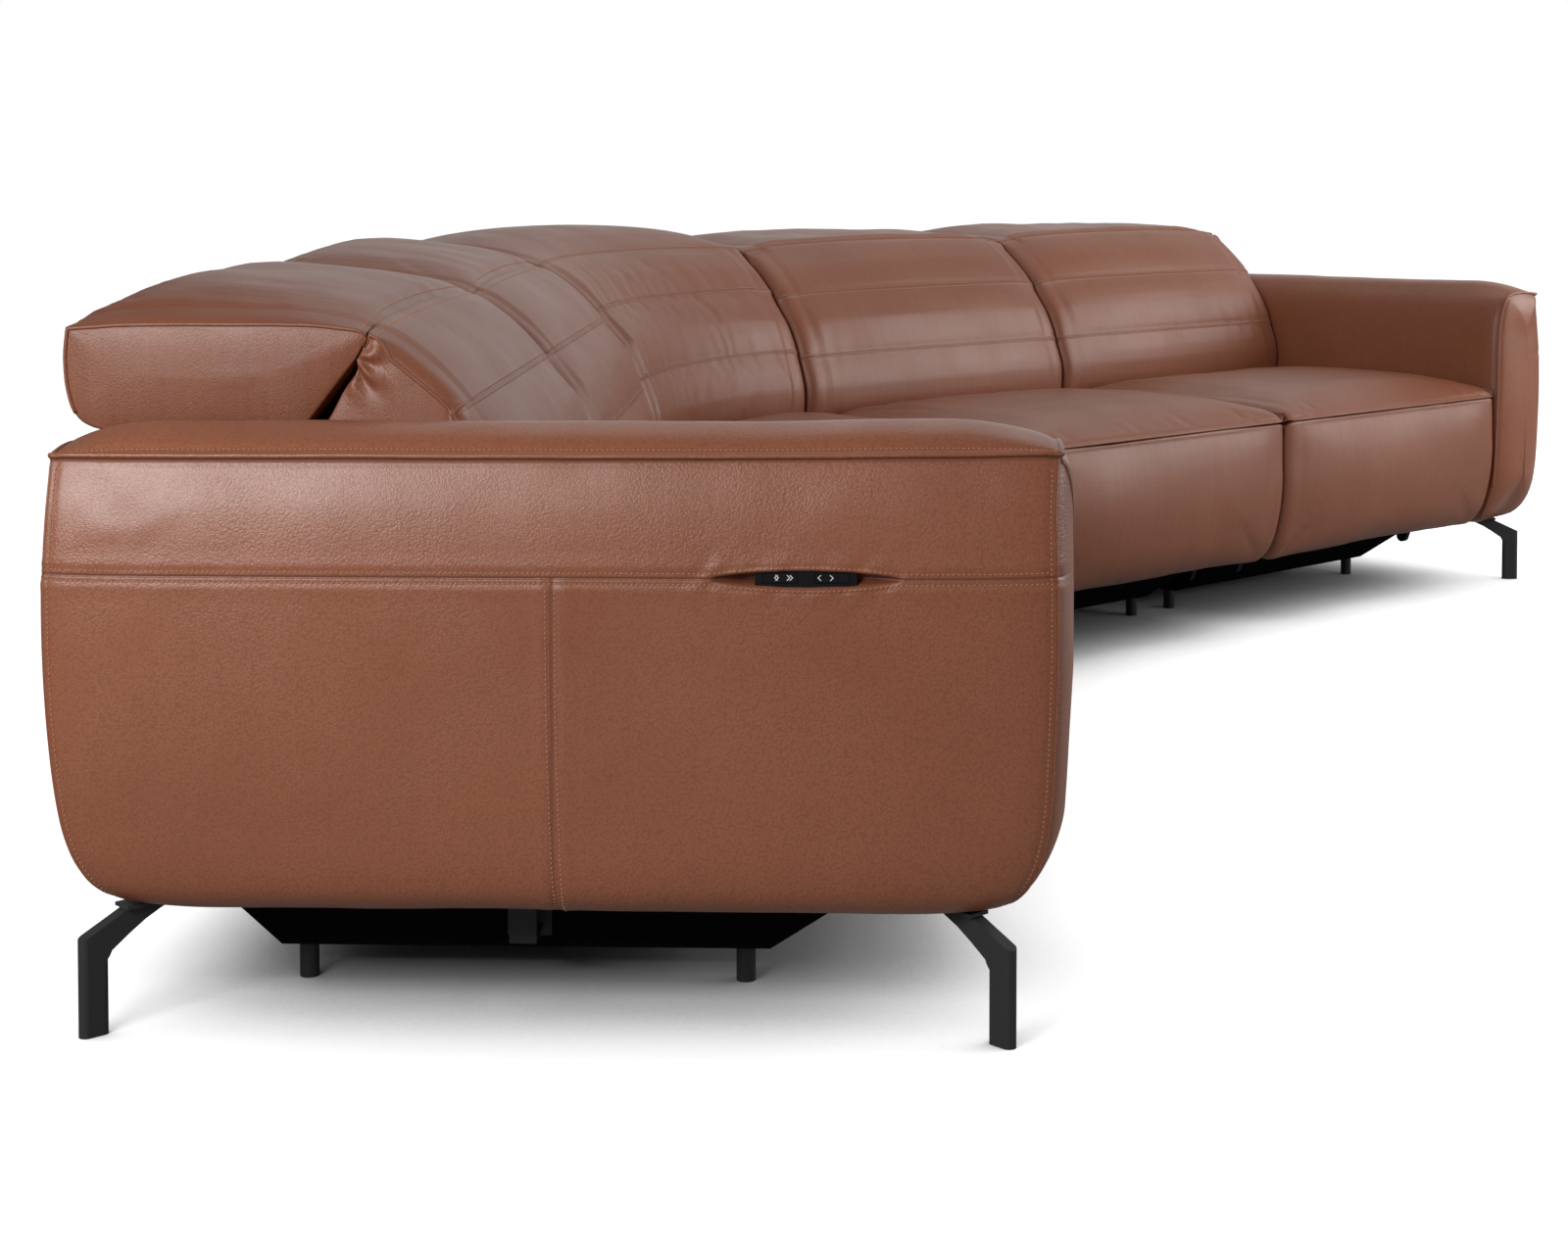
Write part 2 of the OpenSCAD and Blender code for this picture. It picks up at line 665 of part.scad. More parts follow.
// Fixed seat: a plywood box on the same base, with slats under the cushion
wall_t = 18;
box_front = skirt_t + touch_gap;
box_rear = back_rear_y + touch_gap;
box_half = seat_w / 2 - 12;
box_z = base_top - 2;

module inner_seat_frame() color(WOOD) {
    base_shell(seat_w / 2 - base_inset);
    difference() {
        union() {
            block([-box_half, box_half], [box_front, box_rear], [box_z, deck_top]);
            block([-box_half, box_half], [recline_y + 20, box_rear], [deck_top - 1, back_shelf]);
        }
        block([-box_half + wall_t, box_half - wall_t],
            [box_front + wall_t, box_rear - wall_t], [box_z - 1, deck_top - deck_t]);
        for (i = [0 : 5]) block([-box_half + wall_t, box_half - wall_t],
            [box_front + wall_t + 10 + i * 72, box_front + wall_t + 46 + i * 72],
            [deck_top - deck_t - 1, deck_top + 1]);
        block([-box_half + wall_t, box_half - wall_t],
            [recline_y + 50, box_rear - wall_t], [deck_top - deck_t - 1, back_shelf + 1]);
        for (y = [box_front - 1, box_rear - wall_t - 1])
            block([-box_half + 60, box_half - 60], [y, y + wall_t + 2], [box_z - 1, box_z + 34]);
    }
}

// Corner seat: the same pieces, turned round the middle of the corner
module sector(r, shift, z) {
    steps = [for (i = [-4 : 4]) i / 4];
    function at(radius, s) =
        let (a = s * half_turn) [radius * sin(a) - s * shift * cos(a),
            radius * cos(a) + s * shift * sin(a)];
    translate([0, 0, z[0]]) linear_extrude(z[1] - z[0])
        polygon(concat([for (s = steps) at(r[0], s)], [for (i = [8 : -1 : 0]) at(r[1], steps[i])]));
}

module corner_frame() color(WOOD) {
    front = corner_r + box_front;
    rear = corner_r + box_rear;
    base_r = [corner_r + base_front_y - 60, corner_r + base_rear_y + 40];
    difference() {
        sector(base_r, base_inset, [base_z, base_top]);
        sector([base_r[0] + base_t, base_r[1] - base_t], base_inset + base_t,
            [base_z + base_t, base_top + 1]);
    }
    difference() {
        union() {
            sector([front, rear], 12, [box_z, deck_top]);
            sector([corner_r + recline_y + 20, rear], 12, [deck_top - 1, back_shelf + back_shelf_t]);
            sector([rear - 1, rear + back_board_t], 28, [back_board_z, back_shelf + back_shelf_t - 1]);
            sector([rear + 1, rear + back_board_t], 28, [back_shelf, back_shelf_z - 18]);
        }
        sector([front + wall_t, rear - wall_t], 12 + wall_t, [box_z - 1, deck_top - deck_t]);
        for (i = [0 : 4]) sector(
            [front + wall_t + 16 + i * 80, front + wall_t + 56 + i * 80], 12 + wall_t,
            [deck_top - deck_t - 1, deck_top + 1]);
    }
}

// Steel straps that join neighbouring bases, and the bases to the arms
module strap(l) {
    block([0, l], [560, 590], [base_z + 22, base_z + 27]);
    for (x = [0, l - 4]) block([x, x + 4], [550, 600], [base_z + 14, base_z + 48]);
}

module module_connectors() color(STEEL) {
    for (seat = [LEFT, MIDDLE]) on_seat(seat)
        translate([seat_w / 2 - base_inset, 0, 0]) strap(2 * base_inset);
    for (run = [1, -1]) on_arm(run) {
        difference() {
            translate([-20, 0, 0]) strap(20 + base_inset);
            block([-21, -touch_gap], [540, 610], [0, base_z + 21]);
            block([-21, -16], [540, 610], [0, 200]);
        }
        block([-16, -4], [560, 590], [base_z + 26, arm_bottom_z]);
    }
    on_corner() for (sign = [-1, 1]) rotate(-sign * half_turn)
        translate([-base_inset, corner_r, 0]) strap(2 * base_inset);
}

// Arm: padded all round, full in its sides and drawn in at its ends; its outline is
// [distance from the inner side, height], and each station is [y, bottom, welt, width share]
function arm_section() = [
    [-3, arm_bottom_z + 10], [0, arm_bottom_z + 60], [0, 0.5 * (arm_bottom_z + arm_welt_z)],
    [0, arm_welt_z - 60], [-5, arm_welt_z - 6], [-24, arm_welt_z + 0.62 * arm_crown],
    [-60, arm_welt_z + arm_crown], [-105, arm_welt_z + 0.85 * arm_crown],
    [-arm_w + 24, arm_welt_z], [-arm_w + 11, arm_welt_z - 50], [-arm_w + 3, arm_welt_z - 105],
    [-arm_w, arm_welt_z - 175], [-arm_w + 1, arm_welt_z - 265], [-arm_w + 5, arm_welt_z - 365],
    [-arm_w + 14, arm_bottom_z + 38], [-arm_w + 36, arm_bottom_z + 8],
    [-arm_w + 72, arm_bottom_z], [-20, arm_bottom_z]
];

function arm_stations() =
    let (b = arm_bottom_z, t = arm_welt_z, f = -arm_front, r = arm_rear_y)
    [[f - 2, b + 162, t - 46, 0.72], [f + 1, b + 92, t - 12, 0.88], [f + 9, b + 46, t, 0.97],
     [f + 36, b + 15, t, 1], [f + 100, b, t, 1], [0.3 * r, b, t - 5, 1], [0.5 * r, b, t - 7, 1],
     [0.7 * r, b, t - 5, 1], [r - 86, b, t, 1], [r - 30, b + 15, t, 1], [r - 8, b + 46, t, 0.97],
     [r - 1, b + 92, t - 12, 0.88], [r + 2, b + 162, t - 46, 0.72]];

module arm_body() {
    mid = -arm_w / 2;
    section = arm_section();
    rings = [for (s = arm_stations()) [
        for (p = section)
            let (rise = (p[1] - arm_bottom_z) / (arm_welt_z - arm_bottom_z))
            [mid + (p[0] - mid) * s[3] - touch_gap, s[0], s[1] + rise * (s[2] - s[1])]
    ]];
    loft([for (i = [len(rings) - 1 : -1 : 0]) rings[i]],
        [mid, arm_rear_y - 2, 0.5 * (arm_bottom_z + arm_welt_z)],
        [mid, -arm_front + 2, 0.5 * (arm_bottom_z + arm_welt_z)]);
}

pod_face = -arm_w + pod_recess + 1;
rocker_r = 2;
rocker_step = rocker_l / 2 + 9;
rocker_depth = 6.6;
rocker_pin = 3.8;

module slot_outline() {
    r = (slot_l * slot_l / 4 + slot_h * slot_h / 4) / slot_h;
    intersection_for(sign = [-1, 1]) translate([0, sign * (r - slot_h / 2)]) circle(r, $fn = 180);
}

module arm() color(LEATHER) difference() {
    arm_body();
    block([pod_face - touch_gap, pod_face + pod_d + touch_gap],
        [pod_y - pod_l / 2 - touch_gap, pod_y + pod_l / 2 + touch_gap],
        [pod_z - pod_h / 2 - touch_gap, pod_z + pod_h / 2 + touch_gap]);
    translate([pod_face, pod_y, pod_z]) rotate([90, 0, -90]) linear_extrude(60) slot_outline();
}

module control_pod() color(BLACK) difference() {
    block([pod_face, pod_face + pod_d], [pod_y - pod_l / 2, pod_y + pod_l / 2],
        [pod_z - pod_h / 2, pod_z + pod_h / 2]);
    for (sign = [-1, 1]) translate([pod_face, pod_y + sign * rocker_step, pod_z]) {
        translate([-1, -rocker_l / 2 - 0.5, -rocker_h / 2 - 0.4])
            cube([9, rocker_l + 1, rocker_h + 0.8]);
        translate([rocker_pin, 0, -rocker_h / 2 - 2.4])
            cylinder(h = rocker_h + 4.8, r = rocker_r + pin_fit);
    }
}

// A rocker turns a little on an upright pin behind its face
module rocker(sign) color(BLACK) translate([pod_face, pod_y + sign * rocker_step, pod_z]) {
    translate([0, 0, -rocker_h / 2]) linear_extrude(rocker_h) polygon([
        [0.6, -rocker_l / 2], [1.4, 0], [0.6, rocker_l / 2], [4, rocker_l / 2],
        [rocker_depth, 4], [rocker_depth, -4], [4, -rocker_l / 2]]);
    translate([rocker_pin, 0, -rocker_h / 2 - 2]) cylinder(h = rocker_h + 4, r = rocker_r);
}

// Arm leg: a post with round edges, and a flat arm that rises from its top to the sofa's arm
module bar_outline(l, t) strip([(t - l) / 2, 0], [(l - t) / 2, 0], t / 2);

module arm_leg() {
    half = leg_bar_l / 2;
    top = arm_bottom_z - leg_plate_t - touch_gap;
    rise = tan(leg_rise);
    difference() {
        linear_extrude(leg_bend_z + 60) bar_outline(leg_bar_l, leg_bar_t);
        translate([-half, 0, leg_bend_z]) rotate([0, -leg_rise, 0])
            translate([-50, -50, 0]) cube([200, 100, 100]);
    }
    translate([0, leg_bar_t / 2 - 0.1, 0]) rotate([90, 0, 0]) linear_extrude(leg_bar_t - 0.2) polygon([
        [0, leg_bend_z - 40], [half - 0.5, leg_bend_z - 20], [half + 2, leg_bend_z - 15],
        [2 * half + 6, leg_bend_z - 1], [3 * half + 9, leg_bend_z + 11],
        [4 * half + 12, leg_bend_z + 20], [5 * half + 16, top + 1],
        [(top + 1 - leg_bend_z) / rise - half, top + 1], [0, leg_bend_z + half * rise - 0.1]]);
    translate([34, -14, top]) cube([70, 28, leg_plate_t]);
}

module arm_legs() color(BLACK) {
    for (end = [[leg_end - arm_front, 45], [arm_rear_y - leg_end + arm_front, -45]])
        translate([-arm_w + leg_side, end[0], 0]) rotate(end[1]) arm_leg();
}

on_seat(LEFT) base_tray();  // left_base
on_seat(LEFT) side_rails();  // left_side_rails
on_seat(LEFT) seat_deck();  // left_seat_deck
on_seat(LEFT) seat_cushion();  // left_seat_cushion
on_seat(LEFT) back_frame();  // left_back_frame
on_seat(LEFT) back_cushion();  // left_back_cushion
on_seat(LEFT) headrest_plate();  // left_headrest_plate
on_seat(LEFT) headrest_cushion(headrest_crown);  // left_headrest_cushion
on_seat(LEFT) drive_links();  // left_drive_links
on_seat(LEFT) lift_links();  // left_lift_links
on_seat(LEFT) footrest_board();  // left_footrest_board
on_seat(LEFT) footrest_cushion();  // left_footrest_cushion
on_seat(LEFT) actuator();  // left_actuator
on_seat(MIDDLE) base_tray();  // middle_base
on_seat(MIDDLE) side_rails();  // middle_side_rails
on_seat(MIDDLE) seat_deck();  // middle_seat_deck
on_seat(MIDDLE) seat_cushion();  // middle_seat_cushion
on_seat(MIDDLE) back_frame();  // middle_back_frame
on_seat(MIDDLE) back_cushion();  // middle_back_cushion
on_seat(MIDDLE) headrest_plate();  // middle_headrest_plate
on_seat(MIDDLE) headrest_cushion(right_headrest_crown);  // middle_headrest_cushion
on_seat(MIDDLE) drive_links();  // middle_drive_links
on_seat(MIDDLE) lift_links();  // middle_lift_links
on_seat(MIDDLE) footrest_board();  // middle_footrest_board
on_seat(MIDDLE) footrest_cushion();  // middle_footrest_cushion
on_seat(MIDDLE) actuator();  // middle_actuator
on_seat(RIGHT) base_tray();  // right_base
on_seat(RIGHT) side_rails();  // right_side_rails
on_seat(RIGHT) seat_deck();  // right_seat_deck
on_seat(RIGHT) seat_cushion();  // right_seat_cushion
on_seat(RIGHT) back_frame();  // right_back_frame
on_seat(RIGHT) back_cushion();  // right_back_cushion
on_seat(RIGHT) headrest_plate();  // right_headrest_plate
on_seat(RIGHT) headrest_cushion(right_headrest_crown);  // right_headrest_cushion
on_seat(RIGHT) drive_links();  // right_drive_links
on_seat(RIGHT) lift_links();  // right_lift_links
on_seat(RIGHT) footrest_board();  // right_footrest_board
on_seat(RIGHT) footrest_cushion();  // right_footrest_cushion
on_seat(RIGHT) actuator();  // right_actuator
on_seat(INNER) inner_seat_frame();
on_seat(INNER) deep_seat_cushion(0);  // inner_seat_cushion
on_seat(INNER) fixed_back_frame();  // inner_back_frame
on_seat(INNER) back_cushion();  // inner_back_cushion
on_seat(INNER) headrest_plate();  // inner_headrest_plate
on_seat(INNER) headrest_cushion(headrest_crown);  // inner_headrest_cushion
on_corner() corner_frame();
on_corner() deep_seat_cushion(half_turn);  // corner_seat_cushion
on_corner() corner_back_cushion();
on_arm(1) arm();  // left_arm
on_arm(1) arm_legs();  // left_arm_legs
on_arm(1) control_pod();  // left_control_pod
on_arm(1) rocker(-1);  // left_recline_rocker
on_arm(1) rocker(1);  // left_headrest_rocker
on_arm(-1) arm();  // right_arm
on_arm(-1) arm_legs();  // right_arm_legs
on_arm(-1) control_pod();  // right_control_pod
on_arm(-1) rocker(-1);  // right_recline_rocker
on_arm(-1) rocker(1);  // right_headrest_rocker
base_feet();
module_connectors();
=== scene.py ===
"""Reclining sectional sofa in brown leather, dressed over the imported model."""
import math

import bpy
import numpy as np
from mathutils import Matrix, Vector


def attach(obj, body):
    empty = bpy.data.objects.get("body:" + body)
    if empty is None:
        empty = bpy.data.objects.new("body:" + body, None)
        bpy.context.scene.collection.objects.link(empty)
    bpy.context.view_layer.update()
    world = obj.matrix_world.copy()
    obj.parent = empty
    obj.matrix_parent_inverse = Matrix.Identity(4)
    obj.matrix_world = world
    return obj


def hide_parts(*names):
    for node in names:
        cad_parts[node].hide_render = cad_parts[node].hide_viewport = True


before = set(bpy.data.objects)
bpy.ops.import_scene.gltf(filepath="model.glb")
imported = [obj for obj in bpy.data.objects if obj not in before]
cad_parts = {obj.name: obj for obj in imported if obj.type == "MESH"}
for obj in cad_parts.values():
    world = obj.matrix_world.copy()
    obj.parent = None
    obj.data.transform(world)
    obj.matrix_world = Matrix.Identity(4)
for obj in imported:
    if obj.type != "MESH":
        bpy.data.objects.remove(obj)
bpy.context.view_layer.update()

# Studio: a white floor, a white surround, and large soft lamps on the left, above, in front and
# behind, as for a catalogue picture. The floor glows white for the lens. Under the sofa its real
# soft shadow is deepened by a painted shadow from ambient occlusion. The lens stands a little
# higher than the headrests.
PICTURE_W, SENSOR_W = 1600, 36
LOOK_TURN, LOOK_DOWN = math.radians(24.4), math.radians(2.33)
camera = bpy.data.objects.new("camera", bpy.data.cameras.new("camera"))
bpy.context.scene.collection.objects.link(camera)
bpy.context.scene.camera = camera
camera.data.lens = 2665 / PICTURE_W * SENSOR_W
camera.data.shift_x = -10.3 / PICTURE_W
camera.data.shift_y = -0.24
camera.location = (-4.1705, -1.7095, 0.944)
camera.rotation_euler = Vector((
    math.cos(LOOK_TURN) * math.cos(LOOK_DOWN),
    math.sin(LOOK_TURN) * math.cos(LOOK_DOWN),
    -math.sin(LOOK_DOWN))).to_track_quat("-Z", "Y").to_euler()
bpy.context.scene.view_settings.view_transform = "Standard"


class Wire:
    """A shader socket that takes part in arithmetic; node() adds any other node."""

    def __init__(self, tree, socket=None):
        self.tree, self.socket = tree, socket

    def node(self, kind, inputs, output=0, **settings):
        made = self.tree.nodes.new("ShaderNode" + kind)
        for name, value in settings.items():
            setattr(made, name, value)
        for name, value in inputs.items():
            if isinstance(value, Wire):
                self.tree.links.new(value.socket, made.inputs[name])
            else:
                made.inputs[name].default_value = value
        return Wire(self.tree, made.outputs[output] if made.outputs else None)

    def maths(self, operation, first, second):
        return self.node("Math", {0: first, 1: second}, operation=operation)

    def __add__(self, other):
        return self.maths("ADD", self, other)

    def __rsub__(self, other):
        return self.maths("SUBTRACT", other, self)

    def __mul__(self, other):
        return self.maths("MULTIPLY", self, other)

    __radd__, __rmul__ = __add__, __mul__

    def between(self, low, high, start=0.0, end=1.0):
        return self.node("MapRange", {"Value": self, "From Min": low, "From Max": high,
                                      "To Min": start, "To Max": end})

    def blend(self, first, second):
        """Goes from the first colour to the second as this value goes from 0 to 1."""
        return self.node("Mix", {0: self, 6: first, 7: second}, 2, data_type="RGBA")


def new_material(name):
    made = bpy.data.materials.new(name)
    made.use_nodes = True
    made.node_tree.nodes.clear()
    return made, Wire(made.node_tree)


def finished(start, shader):
    start.node("OutputMaterial", {"Surface": shader})


def seen_directly(start):
    return start.node("LightPath", {}, "Is Camera Ray")


WHITE = (1, 1, 1, 1)
surround = bpy.data.worlds.new("surround")
bpy.context.scene.world = surround
surround.use_nodes = True
surround.node_tree.nodes.clear()
sky = Wire(surround.node_tree)
sky.node("OutputWorld", {"Surface": sky.node("MixShader", {
    0: seen_directly(sky),
    1: sky.node("Background", {"Color": WHITE, "Strength": 0.20}),
    2: sky.node("Background", {"Color": WHITE, "Strength": 1.0})})})

floor_white, start = new_material("floor_white")
# Painted shadow: the floor's glow fades to black where ambient occlusion finds the sofa near.
painted_floor_shadow = start.node("AmbientOcclusion", {"Distance": 0.39}, "AO", samples=12)
finished(start, start.node("MixShader", {
    0: seen_directly(start),
    1: start.node("BsdfDiffuse", {"Color": (0.32, 0.32, 0.32, 1)}),
    2: start.node("AddShader", {
        0: start.node("BsdfDiffuse", {"Color": (0.55, 0.55, 0.55, 1)}),
        1: start.node("Emission", {"Strength": 0.95, "Color": painted_floor_shadow.between(0.20, 0.78).blend(
            (0.0, 0.0, 0.0, 1), WHITE)})})}))
FAR = 400
floor = bpy.data.objects.new("floor", bpy.data.meshes.new("floor"))
floor.data.from_pydata(
    [(-FAR, -FAR, 0), (FAR, -FAR, 0), (FAR, FAR, 0), (-FAR, FAR, 0)], [], [(0, 1, 2, 3)])
floor.data.materials.append(floor_white)
bpy.context.scene.collection.objects.link(floor)


def softbox(name, place, target, size, watts):
    made = bpy.data.objects.new(name, bpy.data.lights.new(name, "AREA"))
    made.data.shape = "RECTANGLE"
    made.data.size, made.data.size_y = size
    made.data.energy = watts
    made.location = place
    made.rotation_euler = (Vector(target) - Vector(place)).to_track_quat("-Z", "Y").to_euler()
    bpy.context.scene.collection.objects.link(made)


softbox("lamp_left", (-4.4, 0.0, 1.80), (-1.75, -0.1, 0.70), (1.3, 1.0), 81)
softbox("lamp_above", (1.3, 0.3, 3.2), (1.1, 0.1, 0.4), (3.0, 1.8), 19)
softbox("lamp_front", (1.9, -3.5, 1.85), (0.6, 0.0, 0.4), (4.4, 2.4), 130)
softbox("lamp_behind", (4.4, 1.2, 1.9), (0.0, 0.0, 0.6), (7.0, 3.0), 38)


# Leather: a brown aniline hide with a natural grain and a satin finish. The arms have a coarser
# grain. The cushions' hide is finer, duller and brushed along its panels, and its colour is 10%
# darker as painted shade. The dye pools darker in the grain. A mask darkens the hide along the
# seams, where it is partly seam dye and partly painted shade. The mask also darkens the cushions'
# rims, the arms' hide under their welts and the inside of their pod slots, and there it is painted
# shade.
def leather(name, grain, brushed, dull, painted_shade_factor):
    # The hide's colours, darkened by the painted shade factor.
    def dye(red, green, blue):
        return (red * painted_shade_factor, green * painted_shade_factor, blue * painted_shade_factor, 1)

    made, start = new_material(name)
    place = start.node("TexCoord", {}, "Object")
    cut = start.node("Attribute", {}, "Vector", attribute_name="cut")
    seam_dye_and_painted_shade = start.node("Attribute", {}, "Fac", attribute_name="seam_dye_and_painted_shade")
    drift = start.node("TexNoise", {"Vector": place, "Scale": 9.0, "Detail": 3.0})
    cloud = start.node("TexNoise", {"Vector": place, "Scale": 2.6, "Detail": 4.0})
    fleck = start.node("TexNoise", {"Vector": place, "Scale": 160.0, "Detail": 3.0})
    streak = start.node("TexNoise", {
        "Vector": start.node("Mapping", {"Vector": cut, "Scale": (95.0, 5.0, 1.0)}),
        "Scale": 1.0, "Detail": 2.0})
    wander = start.node("TexNoise", {"Vector": place, "Scale": 70.0}, "Color")
    bent = start.node("VectorMath", {
        0: place, 1: start.node("VectorMath", {0: wander, "Scale": 0.0025}, operation="SCALE")},
        operation="ADD")
    pebble, fine = [1 - start.node("TexVoronoi", {
        "Vector": bent, "Scale": finer / grain, "Randomness": 1.0}) for finer in (1, 2.6)]
    patch = drift.between(0.38, 0.62)
    tone = cloud.between(0.35, 0.65).blend(dye(0.236, 0.075, 0.034), dye(0.276, 0.093, 0.044))
    tone = fleck.between(0.3, 0.7, 0.0, 0.16).blend(tone, dye(0.310, 0.112, 0.056))
    tone = streak.between(0.40, 0.66, 0.0, brushed).blend(tone, (0.160, 0.045, 0.020, 1))
    # Painted shade: the mask darkens the hide towards a deep brown; only at the seams is part of
    # it seam dye.
    tone = (seam_dye_and_painted_shade * 0.45).blend(tone, (0.125, 0.036, 0.017, 1))
    tone = pebble.between(0.25, 0.62, 0.42, 0.0).blend(tone, (0.17, 0.050, 0.023, 1))
    height = pebble * (0.25 + 0.75 * patch) * 0.75 + fine * 0.35 + streak * 0.22
    finished(start, start.node("BsdfPrincipled", {
        "Base Color": tone, "Specular IOR Level": 0.5,
        "Roughness": drift.between(0.3, 0.7, dull, dull + 0.09) + seam_dye_and_painted_shade * 0.06,
        "Normal": start.node("Bump", {"Height": height, "Strength": 0.45, "Distance": 0.0009}),
        "Coat Weight": 0.10, "Coat Roughness": 0.32}))
    return made


arm_leather = leather("arm_leather", grain=0.0030, brushed=0.05, dull=0.33, painted_shade_factor=1.0)
# The cushions' hide is the arms' hide made 10% darker: painted shade.
seat_leather = leather("seat_leather", grain=0.0022, brushed=0.26, dull=0.38, painted_shade_factor=0.90)

# Thread: waxed thread, a shade lighter than the hide.
thread, start = new_material("thread")
twist = start.node("TexNoise", {"Vector": start.node("TexCoord", {}, "Object"), "Scale": 900.0})
finished(start, start.node("BsdfPrincipled", {
    "Base Color": twist.blend((0.36, 0.155, 0.085, 1), (0.52, 0.27, 0.16, 1)),
    "Roughness": 0.55}))

# Cushions: each is a leather cover sewn from panels over foam. Its profile is a line of points
# (y, z, crown, kind) in the seat's own frame, ribs carry the profile across the seat, and a
# cloth run fills the cover with air while its seams are held.
SEAT_W = 0.735
CORNER_R = 0.274378
PIVOT_Y = -0.474972
HALF_TURN = math.radians(22.5)
SEAM, CORNER, SMOOTH = 2, 1, 0
SEATS = {"left": (1, -1.5), "inner": (1, -0.5), "middle": (-1, 0.5), "right": (-1, 1.5)}
COARSE_STEP, COARSE_RIB_STEP, FINE_STEP = 0.017, 0.019, 0.0065
MARGIN = 0.055
MARGIN_RIBS = (0, 0.006, 0.018, 0.036)
FINE_MARGIN_RIBS = (0, 0.0008, 0.002, 0.004, 0.0065, 0.010, 0.0145, 0.020, 0.027, 0.035, 0.044)
FINE_SEAM_STEPS = (0.0016, 0.0034, 0.0056, 0.0085, 0.012, 0.0165)
SIDE_STEPS = (0.015, 0.035, 0.060, 0.09, 0.125, 0.165, 0.21, 0.27, 0.36, 0.5, 0.7, 0.85)
PLAIN_SIDE_STEPS = (0.1, 0.3, 0.6)
PUCKER_Y, PUCKER_Z = 0.766, 0.703


def on_seat(points, seat):
    """Moves points from a seat's frame to the sofa's frame; the corner's frame has no turn."""
    run, shift = SEATS.get(seat, (0, 0))
    turn = run * HALF_TURN
    x = points[..., 0] + shift * SEAT_W
    y = points[..., 1] + (CORNER_R if run else 0)
    return np.stack([x * math.cos(turn) - y * math.sin(turn),
                     x * math.sin(turn) + y * math.cos(turn) + PIVOT_Y, points[..., 2]], axis=-1)


def drawn(points, step, near):
    """A smooth closed line through profile points, sampled at step and closer round its seams."""
    at = np.array([p[:2] for p in points], float)
    crown = np.array([p[2] for p in points], float)
    kind = [p[3] for p in points]
    count = len(at)
    line, crowns, marks, total = [], [], [], 0
    for i in range(count):
        a, b = at[i], at[(i + 1) % count]
        size = np.linalg.norm(b - a)

        def heading(k):
            if kind[k] == CORNER:
                return (b - a) / size
            way = at[(k + 1) % count] - at[k - 1]
            return way / np.linalg.norm(way)

        t = np.arange(0, 1, 0.001 / size)[:, None]
        marks.append(total)
        total += len(t)
        line.append((2 * t ** 3 - 3 * t ** 2 + 1) * a
                    + (t ** 3 - 2 * t ** 2 + t) * size * heading(i)
                    + (3 * t ** 2 - 2 * t ** 3) * b
                    + (t ** 3 - t ** 2) * size * heading((i + 1) % count))
        crowns.append(np.interp(t[:, 0], [0, 1], [crown[i], crown[(i + 1) % count]]))
    line, crowns = np.concatenate(line), np.concatenate(crowns)
    gaps = np.linalg.norm(np.roll(line, -1, axis=0) - line, axis=1)
    arc = np.concatenate([[0], np.cumsum(gaps)[:-1]])
    length = gaps.sum()
    stops = [arc[m] for m, k in zip(marks, kind) if k != SMOOTH]
    picks = {round(s, 6) for s in stops}
    for s in stops:
        picks |= {round((s + side * d) % length, 6) for d in near for side in (-1, 1)}
    reach = near[-1] + 0.6 * step
    for p in np.linspace(0, length, int(length / step), endpoint=False):
        if all(min(abs(p - s), length - abs(p - s)) > reach for s in stops):
            picks.add(round(p, 6))
    v = np.array(sorted(picks))
    wide = np.concatenate([arc - length, arc, arc + length])

    def sample(values, at_v):
        return np.interp(at_v, wide, np.tile(values, 3))

    ahead = np.stack([sample(line[:, k], v + 0.004) - sample(line[:, k], v - 0.004)
                      for k in (0, 1)], axis=1)
    ahead /= np.linalg.norm(ahead, axis=1)[:, None]
    crowns = np.convolve(np.tile(crowns, 3), np.ones(9) / 9, "same")[len(arc):2 * len(arc)]
    return {"y": sample(line[:, 0], v), "z": sample(line[:, 1], v), "crown": sample(crowns, v),
            "ny": -ahead[:, 1], "nz": ahead[:, 0], "v": v, "length": length, "soft": 1,
            "marks": [arc[m] for m in marks], "stops": stops}


def ribs(width, step, near, rim, round_r):
    """Stations across a cushion: share of half the width, shift from it, set-in and rim gap."""
    def set_in(e, sign):
        r = round_r[(1 + sign) // 2]
        return 0.62 * (r - math.sqrt(max(0, r ** 2 - max(0, r - e) ** 2)))

    left, right = [[(sign, -sign * (rim + e), set_in(e, sign), e) for e in near]
                   for sign in (-1, 1)]
    inner = 1 - MARGIN / (width / 2)
    count = max(2, int((width - 2 * MARGIN) / step))
    middle = [(s, 0, 0, MARGIN + (1 - abs(s) / inner) * inner * width / 2)
              for s in np.linspace(-inner, inner, count)]
    return np.array(left + middle + right[::-1])


def carried(share, shift, y, z, width, turn):
    """Places of a profile carried across a straight seat or round the corner's turn."""
    if turn:
        angle, reach = share * turn, CORNER_R + y
        return np.stack([reach * np.sin(angle) + shift * np.cos(angle),
                         reach * np.cos(angle) - shift * np.sin(angle), z], axis=-1)
    return np.stack([share * width / 2 + shift + 0 * y, y, z], axis=-1)


def stretched(line, rows, width, turn):
    """The skin of a cushion: the profile, swollen by its crown, carried along the ribs."""
    puff = 0.38
    share, shift, inset, e = rows[:, :1], rows[:, 1:2], rows[:, 2:3], rows[:, 3:4]
    full = (1 - puff) * (1 - np.abs(share) ** 2.4) + puff * (1 - np.exp(-e / 0.020))
    out = line["crown"] * full - inset * line["soft"]
    return carried(share, shift, line["y"] + line["ny"] * out, line["z"] + line["nz"] * out,
                   width, turn)


